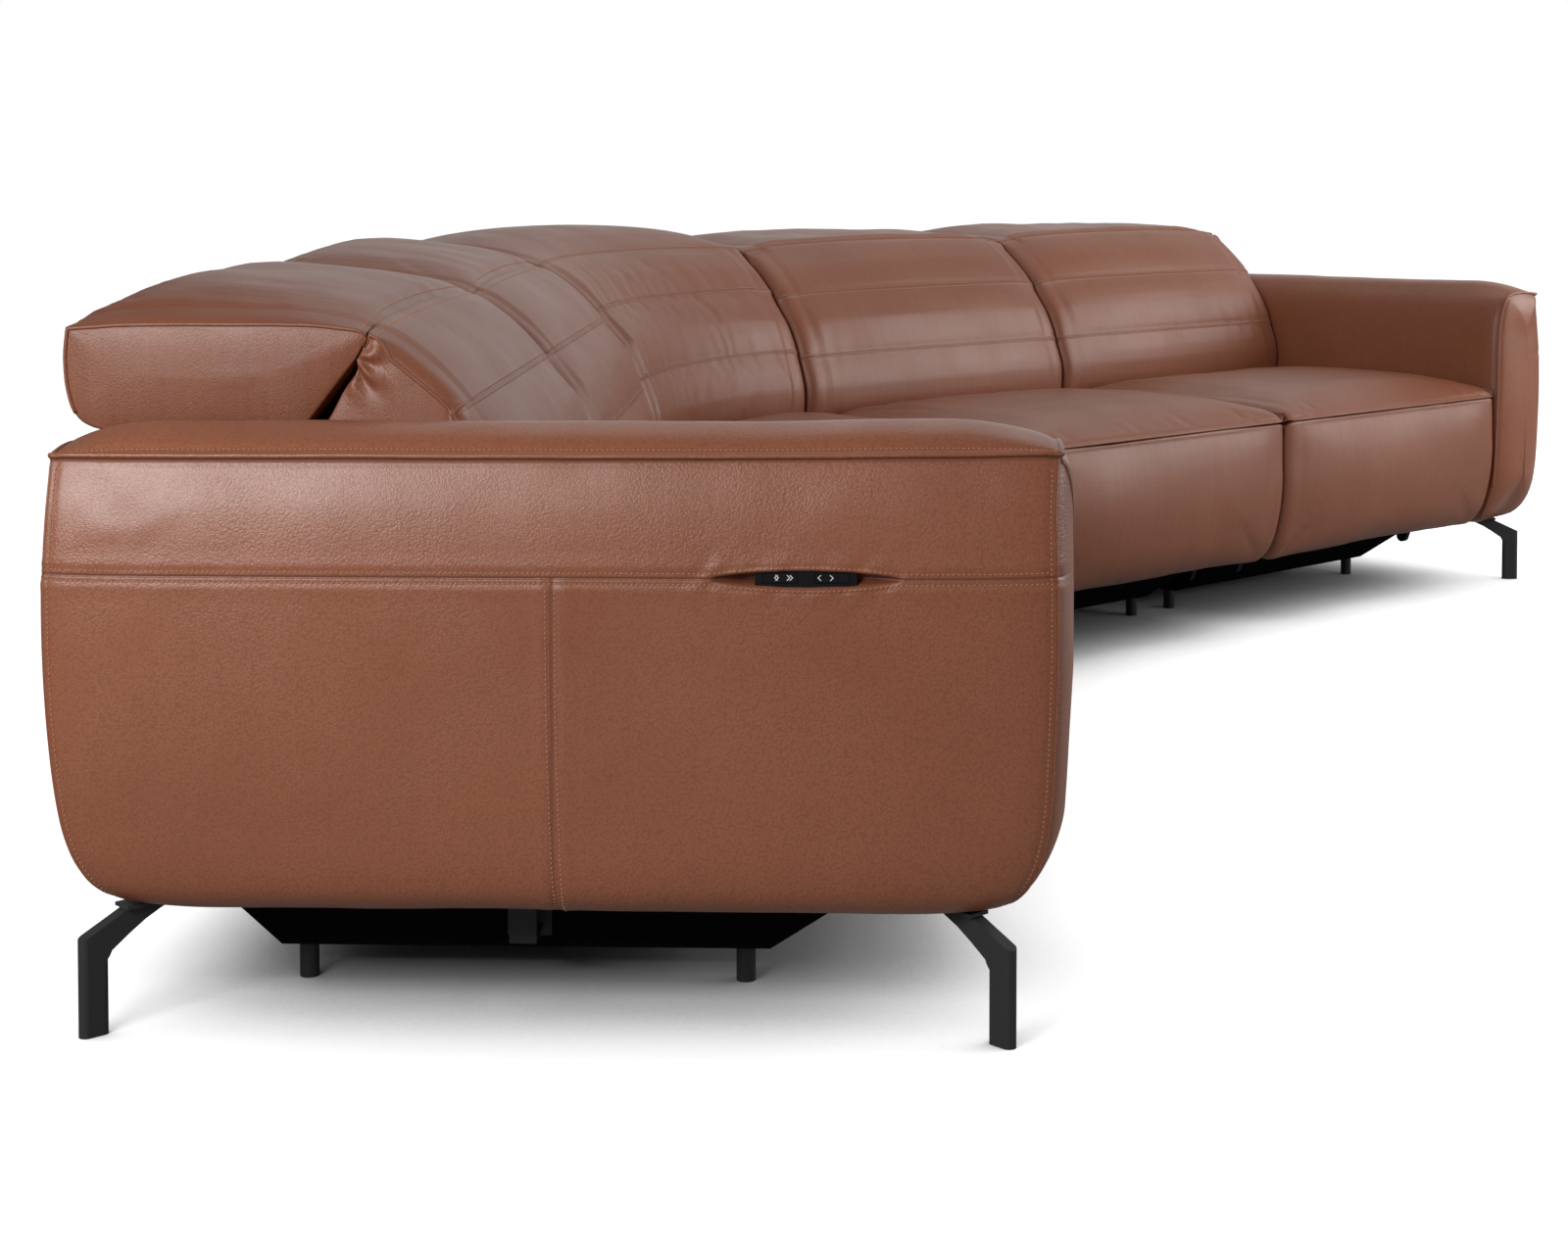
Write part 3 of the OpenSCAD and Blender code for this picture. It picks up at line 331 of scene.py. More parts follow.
def facing(skin):
    """Unit normals of a skin that is closed along its profile."""
    along = np.roll(skin, -1, axis=1) - np.roll(skin, 1, axis=1)
    n = np.cross(along, np.gradient(skin, axis=0))
    return n / np.maximum(np.linalg.norm(n, axis=2, keepdims=True), 1e-9)


def lattice(u, v, seed):
    """Smooth noise between -1 and 1 with a grain of one unit, the same each run."""
    table = np.random.RandomState(seed).uniform(-1, 1, (64, 64))
    iu, iv = np.floor(u).astype(int), np.floor(v).astype(int)
    fu, fv = u - iu, v - iv
    fu, fv = fu * fu * (3 - 2 * fu), fv * fv * (3 - 2 * fv)
    low = table[iu % 64, iv % 64] * (1 - fu) + table[(iu + 1) % 64, iv % 64] * fu
    high = table[iu % 64, (iv + 1) % 64] * (1 - fu) + table[(iu + 1) % 64, (iv + 1) % 64] * fu
    return low * (1 - fv) + high * fv


def bump_at(v, centre, width):
    return np.exp(-((v - centre) / width) ** 2)


def pair(v, away, width):
    return bump_at(v, away, width) + bump_at(v, -away, width)


def depth_in(points, ring):
    """How far points of a side panel lie inside its rim."""
    return np.linalg.norm(points[:, None] - ring[None], axis=2).min(axis=1)


def closed_mesh(skin, cores, tips, steps, axis=0, swell=None):
    """Points and faces of a skin whose two ends are closed by panels that run in to a core."""
    rows, count = skin.shape[:2]
    index = np.arange(rows * count).reshape(rows, count)
    a, b = index[:-1], index[1:]
    points, total = [skin.reshape(-1, 3)], rows * count
    quads = [np.stack([a, b, np.roll(b, -1, 1), np.roll(a, -1, 1)], -1).reshape(-1, 4)]
    tris = []
    for end, outward in ((0, -1), (1, 1)):
        ring, last = skin[-end], index[-end]
        for f in steps:
            layer = ring + (cores[end] - ring) * f
            if swell:
                layer[:, axis] += outward * swell(layer, ring, end, f)
            ids = np.arange(total, total + count)
            total += count
            points.append(layer)
            quad = (ids, last, np.roll(last, -1), np.roll(ids, -1))
            quads.append(np.stack(quad[::-outward], -1))
            last = ids
        points.append(np.array([tips[end]]))
        tri = (last, np.roll(last, -1), np.full(count, total))
        tris.append(np.stack(tri[::-outward], -1))
        total += 1
    return np.concatenate(points), np.concatenate(quads), np.concatenate(tris)


def mesh_object(name, points, quads, tris=()):
    data = bpy.data.meshes.new(name)
    faces = [[int(corner) for corner in face] for face in (*quads, *tris)]
    data.from_pydata(points.tolist(), [], faces)
    data.update()
    data.polygons.foreach_set("use_smooth", [True] * len(data.polygons))
    made = bpy.data.objects.new(name, data)
    bpy.context.scene.collection.objects.link(made)
    return made


def leather_cover(name, points, quads, tris, cut, seam_dye_and_painted_shade, hide):
    """A cover whose brushing follows the cut of its panels, and whose mask of seam dye and painted
    shade darkens its leather.
    """
    made = mesh_object(name, points, quads, tris)
    values = made.data.attributes
    values.new("cut", "FLOAT_VECTOR", "POINT").data.foreach_set("vector", cut.reshape(-1))
    values.new("seam_dye_and_painted_shade", "FLOAT", "POINT").data.foreach_set("value", seam_dye_and_painted_shade)
    made.data.materials.append(hide)
    return made


def puffed(points, quads, tris, held, pressure, stretch):
    """Blows a sewn cover up with its seams held, and returns how far each point moved."""
    moments, most = 18, 0.008
    made = mesh_object("cover", points, quads, tris)
    group = made.vertex_groups.new(name="held")
    group.add([int(i) for i in np.nonzero(held)[0]], 1.0, "REPLACE")
    cloth = made.modifiers.new("cloth", "CLOTH")
    cloth.settings.quality = 5
    cloth.settings.effector_weights.gravity = 0
    cloth.settings.use_pressure = True
    cloth.settings.uniform_pressure_force = pressure
    cloth.settings.vertex_group_mass = "held"
    cloth.settings.shrink_min = -stretch
    cloth.settings.bending_stiffness = 0.15
    cloth.point_cache.frame_start, cloth.point_cache.frame_end = 1, moments
    for moment in range(1, moments + 1):
        bpy.context.scene.frame_set(moment)
    eased = made.evaluated_get(bpy.context.evaluated_depsgraph_get()).data
    moved = np.zeros(len(points) * 3)
    eased.vertices.foreach_get("co", moved)
    moved = moved.reshape(-1, 3) - points
    bpy.context.scene.frame_set(1)
    bpy.data.objects.remove(made)
    size = np.linalg.norm(moved, axis=1, keepdims=True)
    return moved * np.minimum(1, most / np.maximum(size, 1e-9))


def refined(moved, coarse, coarse_rows, fine, fine_rows):
    """The coarse cover's movement on the fine skin, dying away towards the rims."""
    wide_v = np.concatenate([coarse["v"] + lap * coarse["length"] for lap in (-1, 0, 1)])
    spread = np.stack([[np.interp(fine["v"], wide_v, np.tile(row[:, k], 3)) for k in range(3)]
                       for row in moved]).transpose(0, 2, 1)
    place = np.interp(fine_rows[:, 0] * 10 + fine_rows[:, 1],
                      coarse_rows[:, 0] * 10 + coarse_rows[:, 1], np.arange(len(coarse_rows)))
    low = np.floor(place).astype(int).clip(0, len(spread) - 2)
    share = (place - low)[:, None, None]
    share = share * share * (3 - 2 * share)
    from_rim = (1 - np.exp(-(fine_rows[:, 3] / 0.05) ** 1.5))[:, None, None]
    return (spread[low] * (1 - share) + spread[low + 1] * share) * from_rim


def upholster(name, points, core, seat, body, node, relief, seed, stretch, fill,
              width=SEAT_W, turn=0.0, pressure=2.0, held_below=0, held_rear=2, seams=(),
              rim=0.0015, round_r=(0.028, 0.028), bulge=(0, 0), fold=None, puckers=0):
    """Cuts, sews and fills one cushion, and returns what its seams and piping need."""
    coarse = drawn(points, COARSE_STEP, [0.009])
    coarse_rows = ribs(width, COARSE_RIB_STEP, MARGIN_RIBS, rim, round_r)
    fine = drawn(points, FINE_STEP, FINE_SEAM_STEPS)
    fine_rows = ribs(width, FINE_STEP, FINE_MARGIN_RIBS, rim, round_r)
    if fold is not None:
        for line in (coarse, fine):
            line["soft"] = np.clip((fold[1] * (line["y"] - fold[0]) - 0.008) / 0.022, 0, 1)

    cores = [carried(side, -side * rim, *core, width, turn) for side in (-1, 1)]
    rest = stretched(coarse, coarse_rows, width, turn)
    cover, quads, tris = closed_mesh(rest, cores, cores, (0.25, 0.5, 0.75))
    free = np.ones(rest.shape[:2], bool)
    free[:2] = free[-2:] = False
    for s in coarse["stops"]:
        free[:, np.abs(coarse["v"] - s) < 0.001] = False
    free[:, (coarse["z"] < held_below) | (coarse["y"] > held_rear)] = False
    held = np.ones(len(cover), bool)
    held[:free.size] = ~free.reshape(-1)
    moved = puffed(cover, quads, tris, held, pressure, stretch)[:free.size].reshape(rest.shape)

    skin = stretched(fine, fine_rows, width, turn) + refined(
        moved, coarse, coarse_rows, fine, fine_rows)
    u = skin[..., 0] if not turn else fine_rows[:, :1] * turn * (CORNER_R + fine["y"])
    v = fine["v"] + 0 * u
    lift = np.zeros(u.shape)
    # Painted shade: the cover darkens towards its rims, where it meets its neighbours. Along its
    # seams the darkening is partly seam dye and partly painted shade in the groove.
    dye_and_shade_mask = 0.6 * np.exp(-fine_rows[:, 3:4] / 0.004) + 0 * u
    for s in seams:
        off = v - fine["marks"][s]
        lift -= 0.0016 * bump_at(off, 0, 0.0014) + 0.0004 * pair(off, 0.0034, 0.0012)
        lift += 0.0003 * pair(off, 0.0085, 0.004)
        dye_and_shade_mask += bump_at(off, 0, 0.0020)
    lift += relief(u, v, fine, np.clip(fine_rows[:, 3:4] / 0.03, 0, 1), seed)
    skin = skin + facing(skin) * lift[..., None]

    def side_panel(layer, ring, end, f):
        depth = depth_in(layer[:, 1:], ring[:, 1:])
        out = bulge[end] * (1 - np.exp(-depth / 0.026))
        if puckers and bulge[end]:
            y, z = layer[:, 1] - PUCKER_Y, layer[:, 2] - PUCKER_Z
            reach = np.hypot(y, z)
            near = bump_at(reach, 0.022, 0.016) * np.clip(depth / 0.004, 0, 1)
            fan = np.arctan2(z, y) + 0.25 * lattice(reach / 0.012, reach / 0.03, 77)
            out += puckers * near * np.cos(7 * fan)
        return out

    tips = [cores[0] - (bulge[0], 0, 0), cores[1] + (bulge[1], 0, 0)]
    points, quads, tris = closed_mesh(
        skin, cores, tips, SIDE_STEPS if max(bulge) else PLAIN_SIDE_STEPS, swell=side_panel)
    cut, dark = np.zeros((len(points), 3)), np.zeros(len(points))
    cut[:u.size, 0], cut[:u.size, 1] = u.reshape(-1), v.reshape(-1)
    cut[u.size:, :2] = points[u.size:, 1:]
    dark[:u.size] = np.clip(dye_and_shade_mask, 0, 1).reshape(-1)
    made = leather_cover(name, on_seat(points, seat), quads, tris, cut, dark, seat_leather)
    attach(made, body)
    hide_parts(node)
    return {"skin": skin, "normal": facing(skin), "line": fine, "seat": seat, "body": body}


# Seat cushions: a domed foam seat in one leather panel, with a seam along its front edge and
# soft folds where the leather puddles towards the back. The fixed seats' covers run on down over
# their front panels.
def seat_folds(u, v, line, edge, seed):
    y, z = line["y"] + 0 * u, line["z"] + 0 * u
    top = np.clip((z - 0.40) / 0.02, 0, 1) * np.clip((y - 0.03) / 0.1, 0, 1)
    rear = np.clip((y - 0.18) / 0.3, 0, 1)
    swing = u + 0.35 * y + 0.03 * lattice(u / 0.11, v / 0.13, seed)
    folds = lattice(swing / 0.045, v / 0.32, seed + 3)
    broad = lattice(u / 0.19, v / 0.16, seed + 5)
    small = lattice(u / 0.021, v / 0.05, seed + 7)
    return top * edge * (0.0026 * folds * rear + 0.0022 * broad + 0.0005 * small * rear)


def seat_profile(front):
    z, rise, crown, deep = 0.416, 0.023, 0.015, 0.556
    return front + [
        (0.012, z + 0.40 * rise, 0.002, SMOOTH), (0.045, z + 0.74 * rise, 0.5 * crown, SMOOTH),
        (0.130, z + 0.96 * rise, crown, SMOOTH), (0.260, z + rise, crown, SMOOTH),
        (0.75 * deep, z + 0.90 * rise, crown, SMOOTH),
        (0.93 * deep, z + 0.62 * rise, 0.6 * crown, SMOOTH),
        (deep - 0.002, z + 0.2 * rise, 0, SMOOTH), (deep - 0.002, 0.321, 0, SMOOTH),
        (deep - 0.010, 0.3015, 0, CORNER)]


OPEN_SEAT = seat_profile([
    (0.093, 0.3015, 0, CORNER), (0.089, 0.390, 0, SMOOTH), (0.083, 0.4095, 0, CORNER),
    (0.001, 0.4095, 0, CORNER), (-0.0022, 0.4125, 0.001, SEAM)])
SKIRT = [
    (0.073, 0.1375, 0, SMOOTH), (0.052, 0.1365, 0, SMOOTH), (0.022, 0.170, 0.002, SMOOTH),
    (0.004, 0.226, 0.003, SMOOTH), (-0.004, 0.286, 0.004, SMOOTH), (-0.0035, 0.347, 0.004, SMOOTH)]
FIXED_SEAT = seat_profile(
    [(0.075, 0.3015, 0, CORNER)] + SKIRT + [(-0.001, 0.4130, 0.001, SEAM)])
FRONT_SEAM = {"left": 4, "middle": 4, "right": 4, "inner": 7, "corner": 7}
seats = {}
for number, seat in enumerate(("left", "middle", "right")):
    seats[seat] = upholster(
        seat + "_seat", OPEN_SEAT, (0.26, 0.358), seat, "root", seat + "_seat_cushion",
        seat_folds, seed=11 * number + 5, stretch=0.001, fill=0.75, held_below=0.411,
        seams=(FRONT_SEAM[seat],))
for seat, seed, form in (("inner", 37, {}), ("corner", 51, {"width": 0.42, "turn": HALF_TURN})):
    seats[seat] = upholster(
        seat + "_seat", FIXED_SEAT, (0.054, 0.331), seat, "root", seat + "_seat_cushion",
        seat_folds, seed=seed, stretch=0.001, fill=0.75, held_below=0.15,
        seams=(FRONT_SEAM[seat],), **form)


# Footrests: the padded front panel of a reclining seat, tucked in towards its lower edge.
def soft_panel(u, v, line, edge, seed):
    return edge * (0.0022 * lattice(u / 0.16, v / 0.10, seed)
                   + 0.0007 * lattice(u / 0.05, v / 0.12, seed + 1))


FOOTREST = SKIRT + [
    (-0.0026, 0.4062, 0.001, SMOOTH), (0.0005, 0.4091, 0, CORNER), (0.069, 0.4082, 0, SMOOTH),
    (0.0748, 0.3990, 0, SMOOTH), (0.0748, 0.146, 0, SMOOTH)]
for number, seat in enumerate(("left", "middle", "right")):
    upholster(seat + "_footrest", FOOTREST, (0.045, 0.266), seat, seat + "_footrest",
              seat + "_footrest_cushion", soft_panel, seed=71 + number, stretch=0.0012,
              fill=0.75, held_rear=0.060)


# Back cushions: panels from the seat up to the headrest's fold, joined by flat-felled double
# seams. The corner's back has one more panel, which runs over its top and down its rear.
def back_folds(u, v, line, edge, seed):
    marks = line["marks"]
    front = (v > marks[1]) & (v < marks[5] + 0.05)
    gather = sum(np.exp(-np.abs(v - marks[m]) / 0.045) for m in (4, 5))
    fine = lattice(u / 0.017 + 0.4 * lattice(u / 0.1, v / 0.1, seed), v / 0.11, seed + 1)
    broad = lattice(u / 0.16, v / 0.11, seed + 2)
    low = np.clip((0.50 - line["z"]) / 0.12, 0, 1)
    sag = lattice(u / 0.09 + 0.5 * lattice(u / 0.2, v / 0.2, seed), v / 0.045, seed + 4)
    return front * edge * (0.00035 * fine * gather + 0.0018 * broad + 0.0004 * sag * low)


def corner_folds(u, v, line, edge, seed):
    marks = line["marks"]
    bands = sum(np.exp(-np.abs(v - marks[m]) / 0.055) for m in (4, 8))
    pleats = lattice(u / 0.020 + 0.8 * lattice(u / 0.08, v / 0.12, seed + 8), v / 0.14, seed + 9)
    return back_folds(u, v, line, edge, seed) + 0.0019 * edge * np.clip(bands, 0, 1) * pleats


BACK_FOOT = [(0.604, 0.331, 0, CORNER), (0.576, 0.376, 0, SMOOTH), (0.561, 0.429, 0.003, SMOOTH),
             (0.5595, 0.484, 0.012, SMOOTH)]
BACK_SHOULDER = [(0.6890, 0.6970, 0.021, SMOOTH), (0.7260, 0.7250, 0.020, SMOOTH)]
BACK_REAR = [(0.999, 0.339, 0, SMOOTH), (0.991, 0.331, 0, CORNER)]
BACK = BACK_FOOT + [
    (0.5780, 0.541, 0.0105, SEAM), (0.5840, 0.5600, 0.012, SMOOTH), (0.6060, 0.599, 0.020, SMOOTH),
    (0.6340, 0.637, 0.0145, SMOOTH), (0.6430, 0.653, 0.0125, SEAM),
    (0.6540, 0.6670, 0.0135, SMOOTH)] + BACK_SHOULDER + [
    (0.7460, 0.7345, 0.017, CORNER), (0.7485, 0.7270, 0.006, SMOOTH), (0.7520, 0.7190, 0, SMOOTH),
    (0.7588, 0.7065, 0, CORNER), (0.7580, 0.6950, 0, SMOOTH), (0.7680, 0.6800, 0, SMOOTH),
    (0.813, 0.622, 0, SMOOTH), (0.987, 0.622, 0, SMOOTH), (0.999, 0.610, 0, SMOOTH)] + BACK_REAR
CORNER_BACK = BACK_FOOT + [
    (0.5815, 0.5530, 0.0100, SEAM), (0.5885, 0.5715, 0.013, SMOOTH),
    (0.6085, 0.6050, 0.021, SMOOTH), (0.6430, 0.6480, 0.012, SMOOTH),
    (0.6545, 0.6655, 0.0115, SEAM), (0.6650, 0.6775, 0.011, SMOOTH)] + BACK_SHOULDER + [
    (0.750, 0.742, 0.008, SEAM), (0.812, 0.748, 0.030, SMOOTH), (0.892, 0.750, 0.044, SMOOTH),
    (0.977, 0.748, 0.040, SMOOTH), (1.044, 0.744, 0.022, SMOOTH), (1.072, 0.722, 0.006, SMOOTH),
    (1.074, 0.676, 0.004, SMOOTH), (1.048, 0.638, 0, SMOOTH), (1.020, 0.618, 0, SMOOTH),
    (0.9987, 0.606, 0, CORNER)] + BACK_REAR
BACK_CORE = (0.650, 0.536)


def outer_side(seat, at_end, elsewhere):
    """A value for the two rims of a cushion, where the sofa's two ends differ from the rest."""
    return (at_end[0] if seat == "left" else elsewhere,
            at_end[1] if seat == "right" else elsewhere)


backs = {}
for number, seat in enumerate(("left", "inner", "middle", "right")):
    backs[seat] = upholster(
        seat + "_back", BACK, BACK_CORE, seat, "root" if seat == "inner" else seat + "_back",
        seat + "_back_cushion", back_folds, seed=101 + 13 * number, stretch=0.0006, fill=0.8,
        pressure=2.2, held_below=0.40, held_rear=0.730, seams=(4, 8), rim=0.003,
        round_r=outer_side(seat, (0.020, 0.014), 0.026), fold=(0.7440, -1), puckers=0.0055,
        bulge=outer_side(seat, (0.006, 0.006), 0))
backs["corner"] = upholster(
    "corner_back", CORNER_BACK, BACK_CORE, "corner", "root", "corner_back_cushion",
    corner_folds, seed=171, stretch=0.0006, fill=0.8, width=0.72, turn=HALF_TURN,
    held_below=0.40, held_rear=1.03, seams=(4, 8, 12), rim=0.003, round_r=(0.026, 0.026))


# Headrests: a deep padded block that lies back on the frame and folds up on its hinge pins.
def head_folds(u, v, line, edge, seed):
    return edge * (0.0028 * lattice(u / 0.17, v / 0.12, seed)
                   + 0.0010 * lattice(u / 0.05, v / 0.10, seed + 1))


def head_profile(crown, high):
    return [
        (0.7605, 0.7070, 0, CORNER), (0.7537, 0.7195, 0, SMOOTH), (0.7500, 0.7285, 0.006, SMOOTH),
        (0.7510, 0.7365, 0.016, SMOOTH), (0.790, 0.7435 + 0.4 * high, 0.5 * crown, SMOOTH),
        (0.840, 0.7440 + high, 0.74 * crown, SMOOTH), (0.900, 0.7440 + high, 0.90 * crown, SMOOTH),
        (0.965, 0.7440 + high, crown, SMOOTH), (1.025, 0.7430 + high, 0.96 * crown, SMOOTH),
        (1.062, 0.7410 + 0.8 * high, 0.78 * crown, SMOOTH),
        (1.0830, 0.7395 + 0.8 * high, 0.15 * crown, CORNER),
        (1.086, 0.7080, 0.12 * crown, SMOOTH), (1.083, 0.6720, 0.1 * crown, SMOOTH),
        (1.072, 0.6420, 0, SMOOTH), (1.050, 0.6290, 0, SMOOTH), (1.015, 0.6260, 0, SMOOTH),
        (0.8225, 0.6260, 0, CORNER)]


heads = {}
for number, (seat, crown, high) in enumerate((
        ("left", 0.038, 0.003), ("inner", 0.041, 0.0045), ("middle", 0.014, 0),
        ("right", 0.013, 0))):
    heads[seat] = upholster(
        seat + "_head", head_profile(crown, high), (0.892, 0.686), seat, seat + "_headrest",
        seat + "_headrest_cushion", head_folds, seed=201 + 7 * number, stretch=0.001, fill=0.8,
        pressure=2.5, held_below=0.66, rim=0.003, fold=(0.7470, 1),
        round_r=outer_side(seat, (0.003, 0.010), 0.024),
        bulge=outer_side(seat, (0.006, 0.006), 0))


# Stitches and piping of the cushions: flat-felled seams show a row of stitches on each side, a
# cord runs along the front of each seat, and the same leather rolled over a cord pipes the
# outer side panels of the backs and headrests at the sofa's two ends.
def tube(path, radius):
    """Points and faces of a round bead along an open path."""
    sides = 8
    ahead = np.gradient(path, axis=0)
    ahead /= np.linalg.norm(ahead, axis=1, keepdims=True)
    up = np.cross(ahead, [0.31, 0.17, 0.93])
    up /= np.linalg.norm(up, axis=1, keepdims=True)
    side = np.cross(ahead, up)
    turn = np.linspace(0, 2 * np.pi, sides, endpoint=False)[None, :, None]
    ring = np.cos(turn) * up[:, None] + np.sin(turn) * side[:, None]
    points = (path[:, None] + radius * ring).reshape(-1, 3)
    index = np.arange(len(path) * sides).reshape(len(path), sides)
    a, b = index[:-1], index[1:]
    quads = np.stack([a, np.roll(a, -1, 1), np.roll(b, -1, 1), b], -1).reshape(-1, 4)
    return points, quads, [index[0][::-1], index[-1]]


def stitch_run(path, normal):
    """Short raised stitches along a path on the leather."""
    pitch, long, half, rise, foot, root = 0.0054, 0.0036, 0.0007, 0.0010, 0.0004, 0.0008
    gaps = np.linalg.norm(np.diff(path, axis=0), axis=1)
    arc = np.concatenate([[0], np.cumsum(gaps)])
    starts = np.arange(pitch / 2, arc[-1] - long, pitch)

    def along(values, s):
        return np.array([np.interp(s, arc, values[:, k]) for k in range(3)]).T

    a, b, up = along(path, starts), along(path, starts + long), along(normal, starts + long / 2)
    up /= np.linalg.norm(up, axis=1, keepdims=True)
    side = np.cross(b - a, up)
    side *= half / np.linalg.norm(side, axis=1, keepdims=True)
    centre, down = (a + b) / 2, up * foot
    middle = centre + up * rise
    points = np.stack([a - side - down, a + side - down, middle + side, middle - side,
                       b + side - down, b - side - down, centre - up * root], 1)
    base = np.arange(len(starts))[:, None] * points.shape[1]
    quads = [base + np.array([face]) for face in ((0, 1, 2, 3), (3, 2, 4, 5))]
    tris = [base + np.array([face]) for face in (
        (0, 6, 1), (5, 4, 6), (1, 6, 2), (2, 6, 4), (3, 6, 0), (5, 6, 3))]
    return points.reshape(-1, 3), np.concatenate(quads), np.concatenate(tris)


def sewn(name, runs, body, make, material):
    """Joins several runs of stitches or piping into one piece on a body."""
    points, quads, others, total = [], [], [], 0
    for run in runs:
        p, q, o = make(*run)
        points.append(p)
        quads += [[i + total for i in face] for face in q]
        others += [[i + total for i in face] for face in o]
        total += len(p)
    made = mesh_object(name, np.concatenate(points), quads, others)
    made.data.materials.append(material)
    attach(made, body)


def seam_row(made, mark, offset):
    """The line on a cushion's skin that lies offset along the profile from one of its points."""
    v = made["line"]["marks"][mark] + offset
    i = int(np.argmin(np.abs(made["line"]["v"] - v)))
    spot, normal = made["skin"][1:-1, i], made["normal"][1:-1, i]
    path = on_seat(spot, made["seat"])
    return path, on_seat(spot + normal, made["seat"]) - path


def rim_row(made, end, start, stop):
    """The rim of a side panel between two points of the profile."""
    v = made["line"]["v"]
    keep = (v >= made["line"]["marks"][start]) & (v <= made["line"]["marks"][stop])
    return on_seat(made["skin"][end][keep], made["seat"])


FELLED_GAP = 0.0034
for seat, made in seats.items():
    path, up = seam_row(made, FRONT_SEAM[seat], 0)
    sewn(seat + "_seat_welt", [(path + 0.0006 * up, 0.0017)], "root", tube, seat_leather)
    sewn(seat + "_seat_stitches", [seam_row(made, FRONT_SEAM[seat], 0.0056)], "root", stitch_run,
         thread)
for seat, made in backs.items():
    rows = [seam_row(made, mark, side * FELLED_GAP)
            for mark in ((4, 8, 12) if seat == "corner" else (4, 8)) for side in (-1, 1)]
    if seat != "corner":
        rows.append(seam_row(made, 12, -0.008))
    sewn(seat + "_back_stitches", rows, made["body"], stitch_run, thread)
for seat, made in heads.items():
    sewn(seat + "_head_stitches", [seam_row(made, 3, 0.008)], made["body"], stitch_run, thread)
for seat, end in (("left", 0), ("right", -1)):
    for part, made, stop in (("_back", backs[seat], 12), ("_head", heads[seat], 13)):
        sewn(seat + part + "_piping", [(rim_row(made, end, 1, stop), 0.0024)], made["body"],
             tube, seat_leather)

# Arms: a foam-padded box in leather. Its outer panel is sewn along a level seam, an upright seam
# and a welt round its edge, and bulges like a hull; the level seam opens for the control pod.
# The ring is the arm's section (x, z) in the arm's own frame.
POD_Y, POD_Z, SLOT_HALF, LIP = 0.258, 0.4950, 0.098, 0.0076
ARM_SPAN, UPRIGHT_Y, TOP_Z = 1.05, 0.521, 0.617
CORE_X, CORE_Z = -0.086, 0.39
LOWER_EDGE, HULL_EDGE, LEVEL_SEAM, WELT = 1, 2, 6, 8
ARM_RING = [
    (-0.030, 0.1335, 0, SMOOTH), (-0.100, 0.1335, 0, SMOOTH), (-0.138, 0.1390, 0, SMOOTH),
    (-0.1600, 0.1640, 0, SMOOTH), (-0.1680, 0.2350, 0, SMOOTH), (-0.1700, 0.3600, 0, SMOOTH),
    (-0.1680, 0.4950, 0, SEAM), (-0.1600, 0.5600, 0, SMOOTH), (-0.1450, 0.6170, 0, CORNER),
    (-0.1250, 0.6350, 0, SMOOTH), (-0.0850, 0.6470, 0, SMOOTH), (-0.0500, 0.6380, 0, SMOOTH),
    (-0.0210, 0.6030, 0, SMOOTH), (-0.0060, 0.5450, 0, SMOOTH), (-0.0005, 0.4400, 0, SMOOTH),
    (-0.0005, 0.2200, 0, SMOOTH), (-0.0060, 0.1500, 0, SMOOTH)]
FRONT_LINE = ([0.131, 0.145, 0.180, 0.240, 0.300, 0.410, 0.500, 0.590, 0.617, 0.660],
              [0.062, 0.036, 0.013, 0.003, 0.0, -0.004, -0.003, -0.002, -0.008, -0.010])
REAR_LINE = ([0.131, 0.150, 0.188, 0.250, 0.355, 0.460, 0.564, 0.617, 0.660],
             [0.980, 1.012, 1.034, 1.047, 1.057, 1.060, 1.056, 1.055, 1.055])
END_STEPS = np.array([0.02, 0.05, 0.09, 0.14, 0.20, 0.27, 0.35, 0.44, 0.53, 0.62, 0.71, 0.80,
                      0.88, 0.95])


def on_arm(points, run):
    """Moves points from the left arm's frame to the sofa's frame, mirrored for the right arm."""
    turned = np.array(points, float)
    x, y = turned[..., 0] - 2 * SEAT_W, turned[..., 1] + CORNER_R
    turned[..., 0] = run * (x * math.cos(HALF_TURN) - y * math.sin(HALF_TURN))
    turned[..., 1] = x * math.sin(HALF_TURN) + y * math.cos(HALF_TURN) + PIVOT_Y
    return turned


def clustered(stops, ends, step, near):
    """Stations between two ends, packed closer round the stops."""
    picks = {round(p, 5) for p in (*stops, *ends)}
    for s in stops:
        picks |= {round(s + side * d, 5) for d in near for side in (-1, 1)}
    for e, side in zip(ends, (1, -1)):
        picks |= {round(e + side * d, 5) for d in near}
    marks = sorted(picks)
    out = [marks[0]]
    for a, b in zip(marks, marks[1:]):
        out += list(np.linspace(a, b, int((b - a) / step) + 2)[1:])
    return np.array(out)


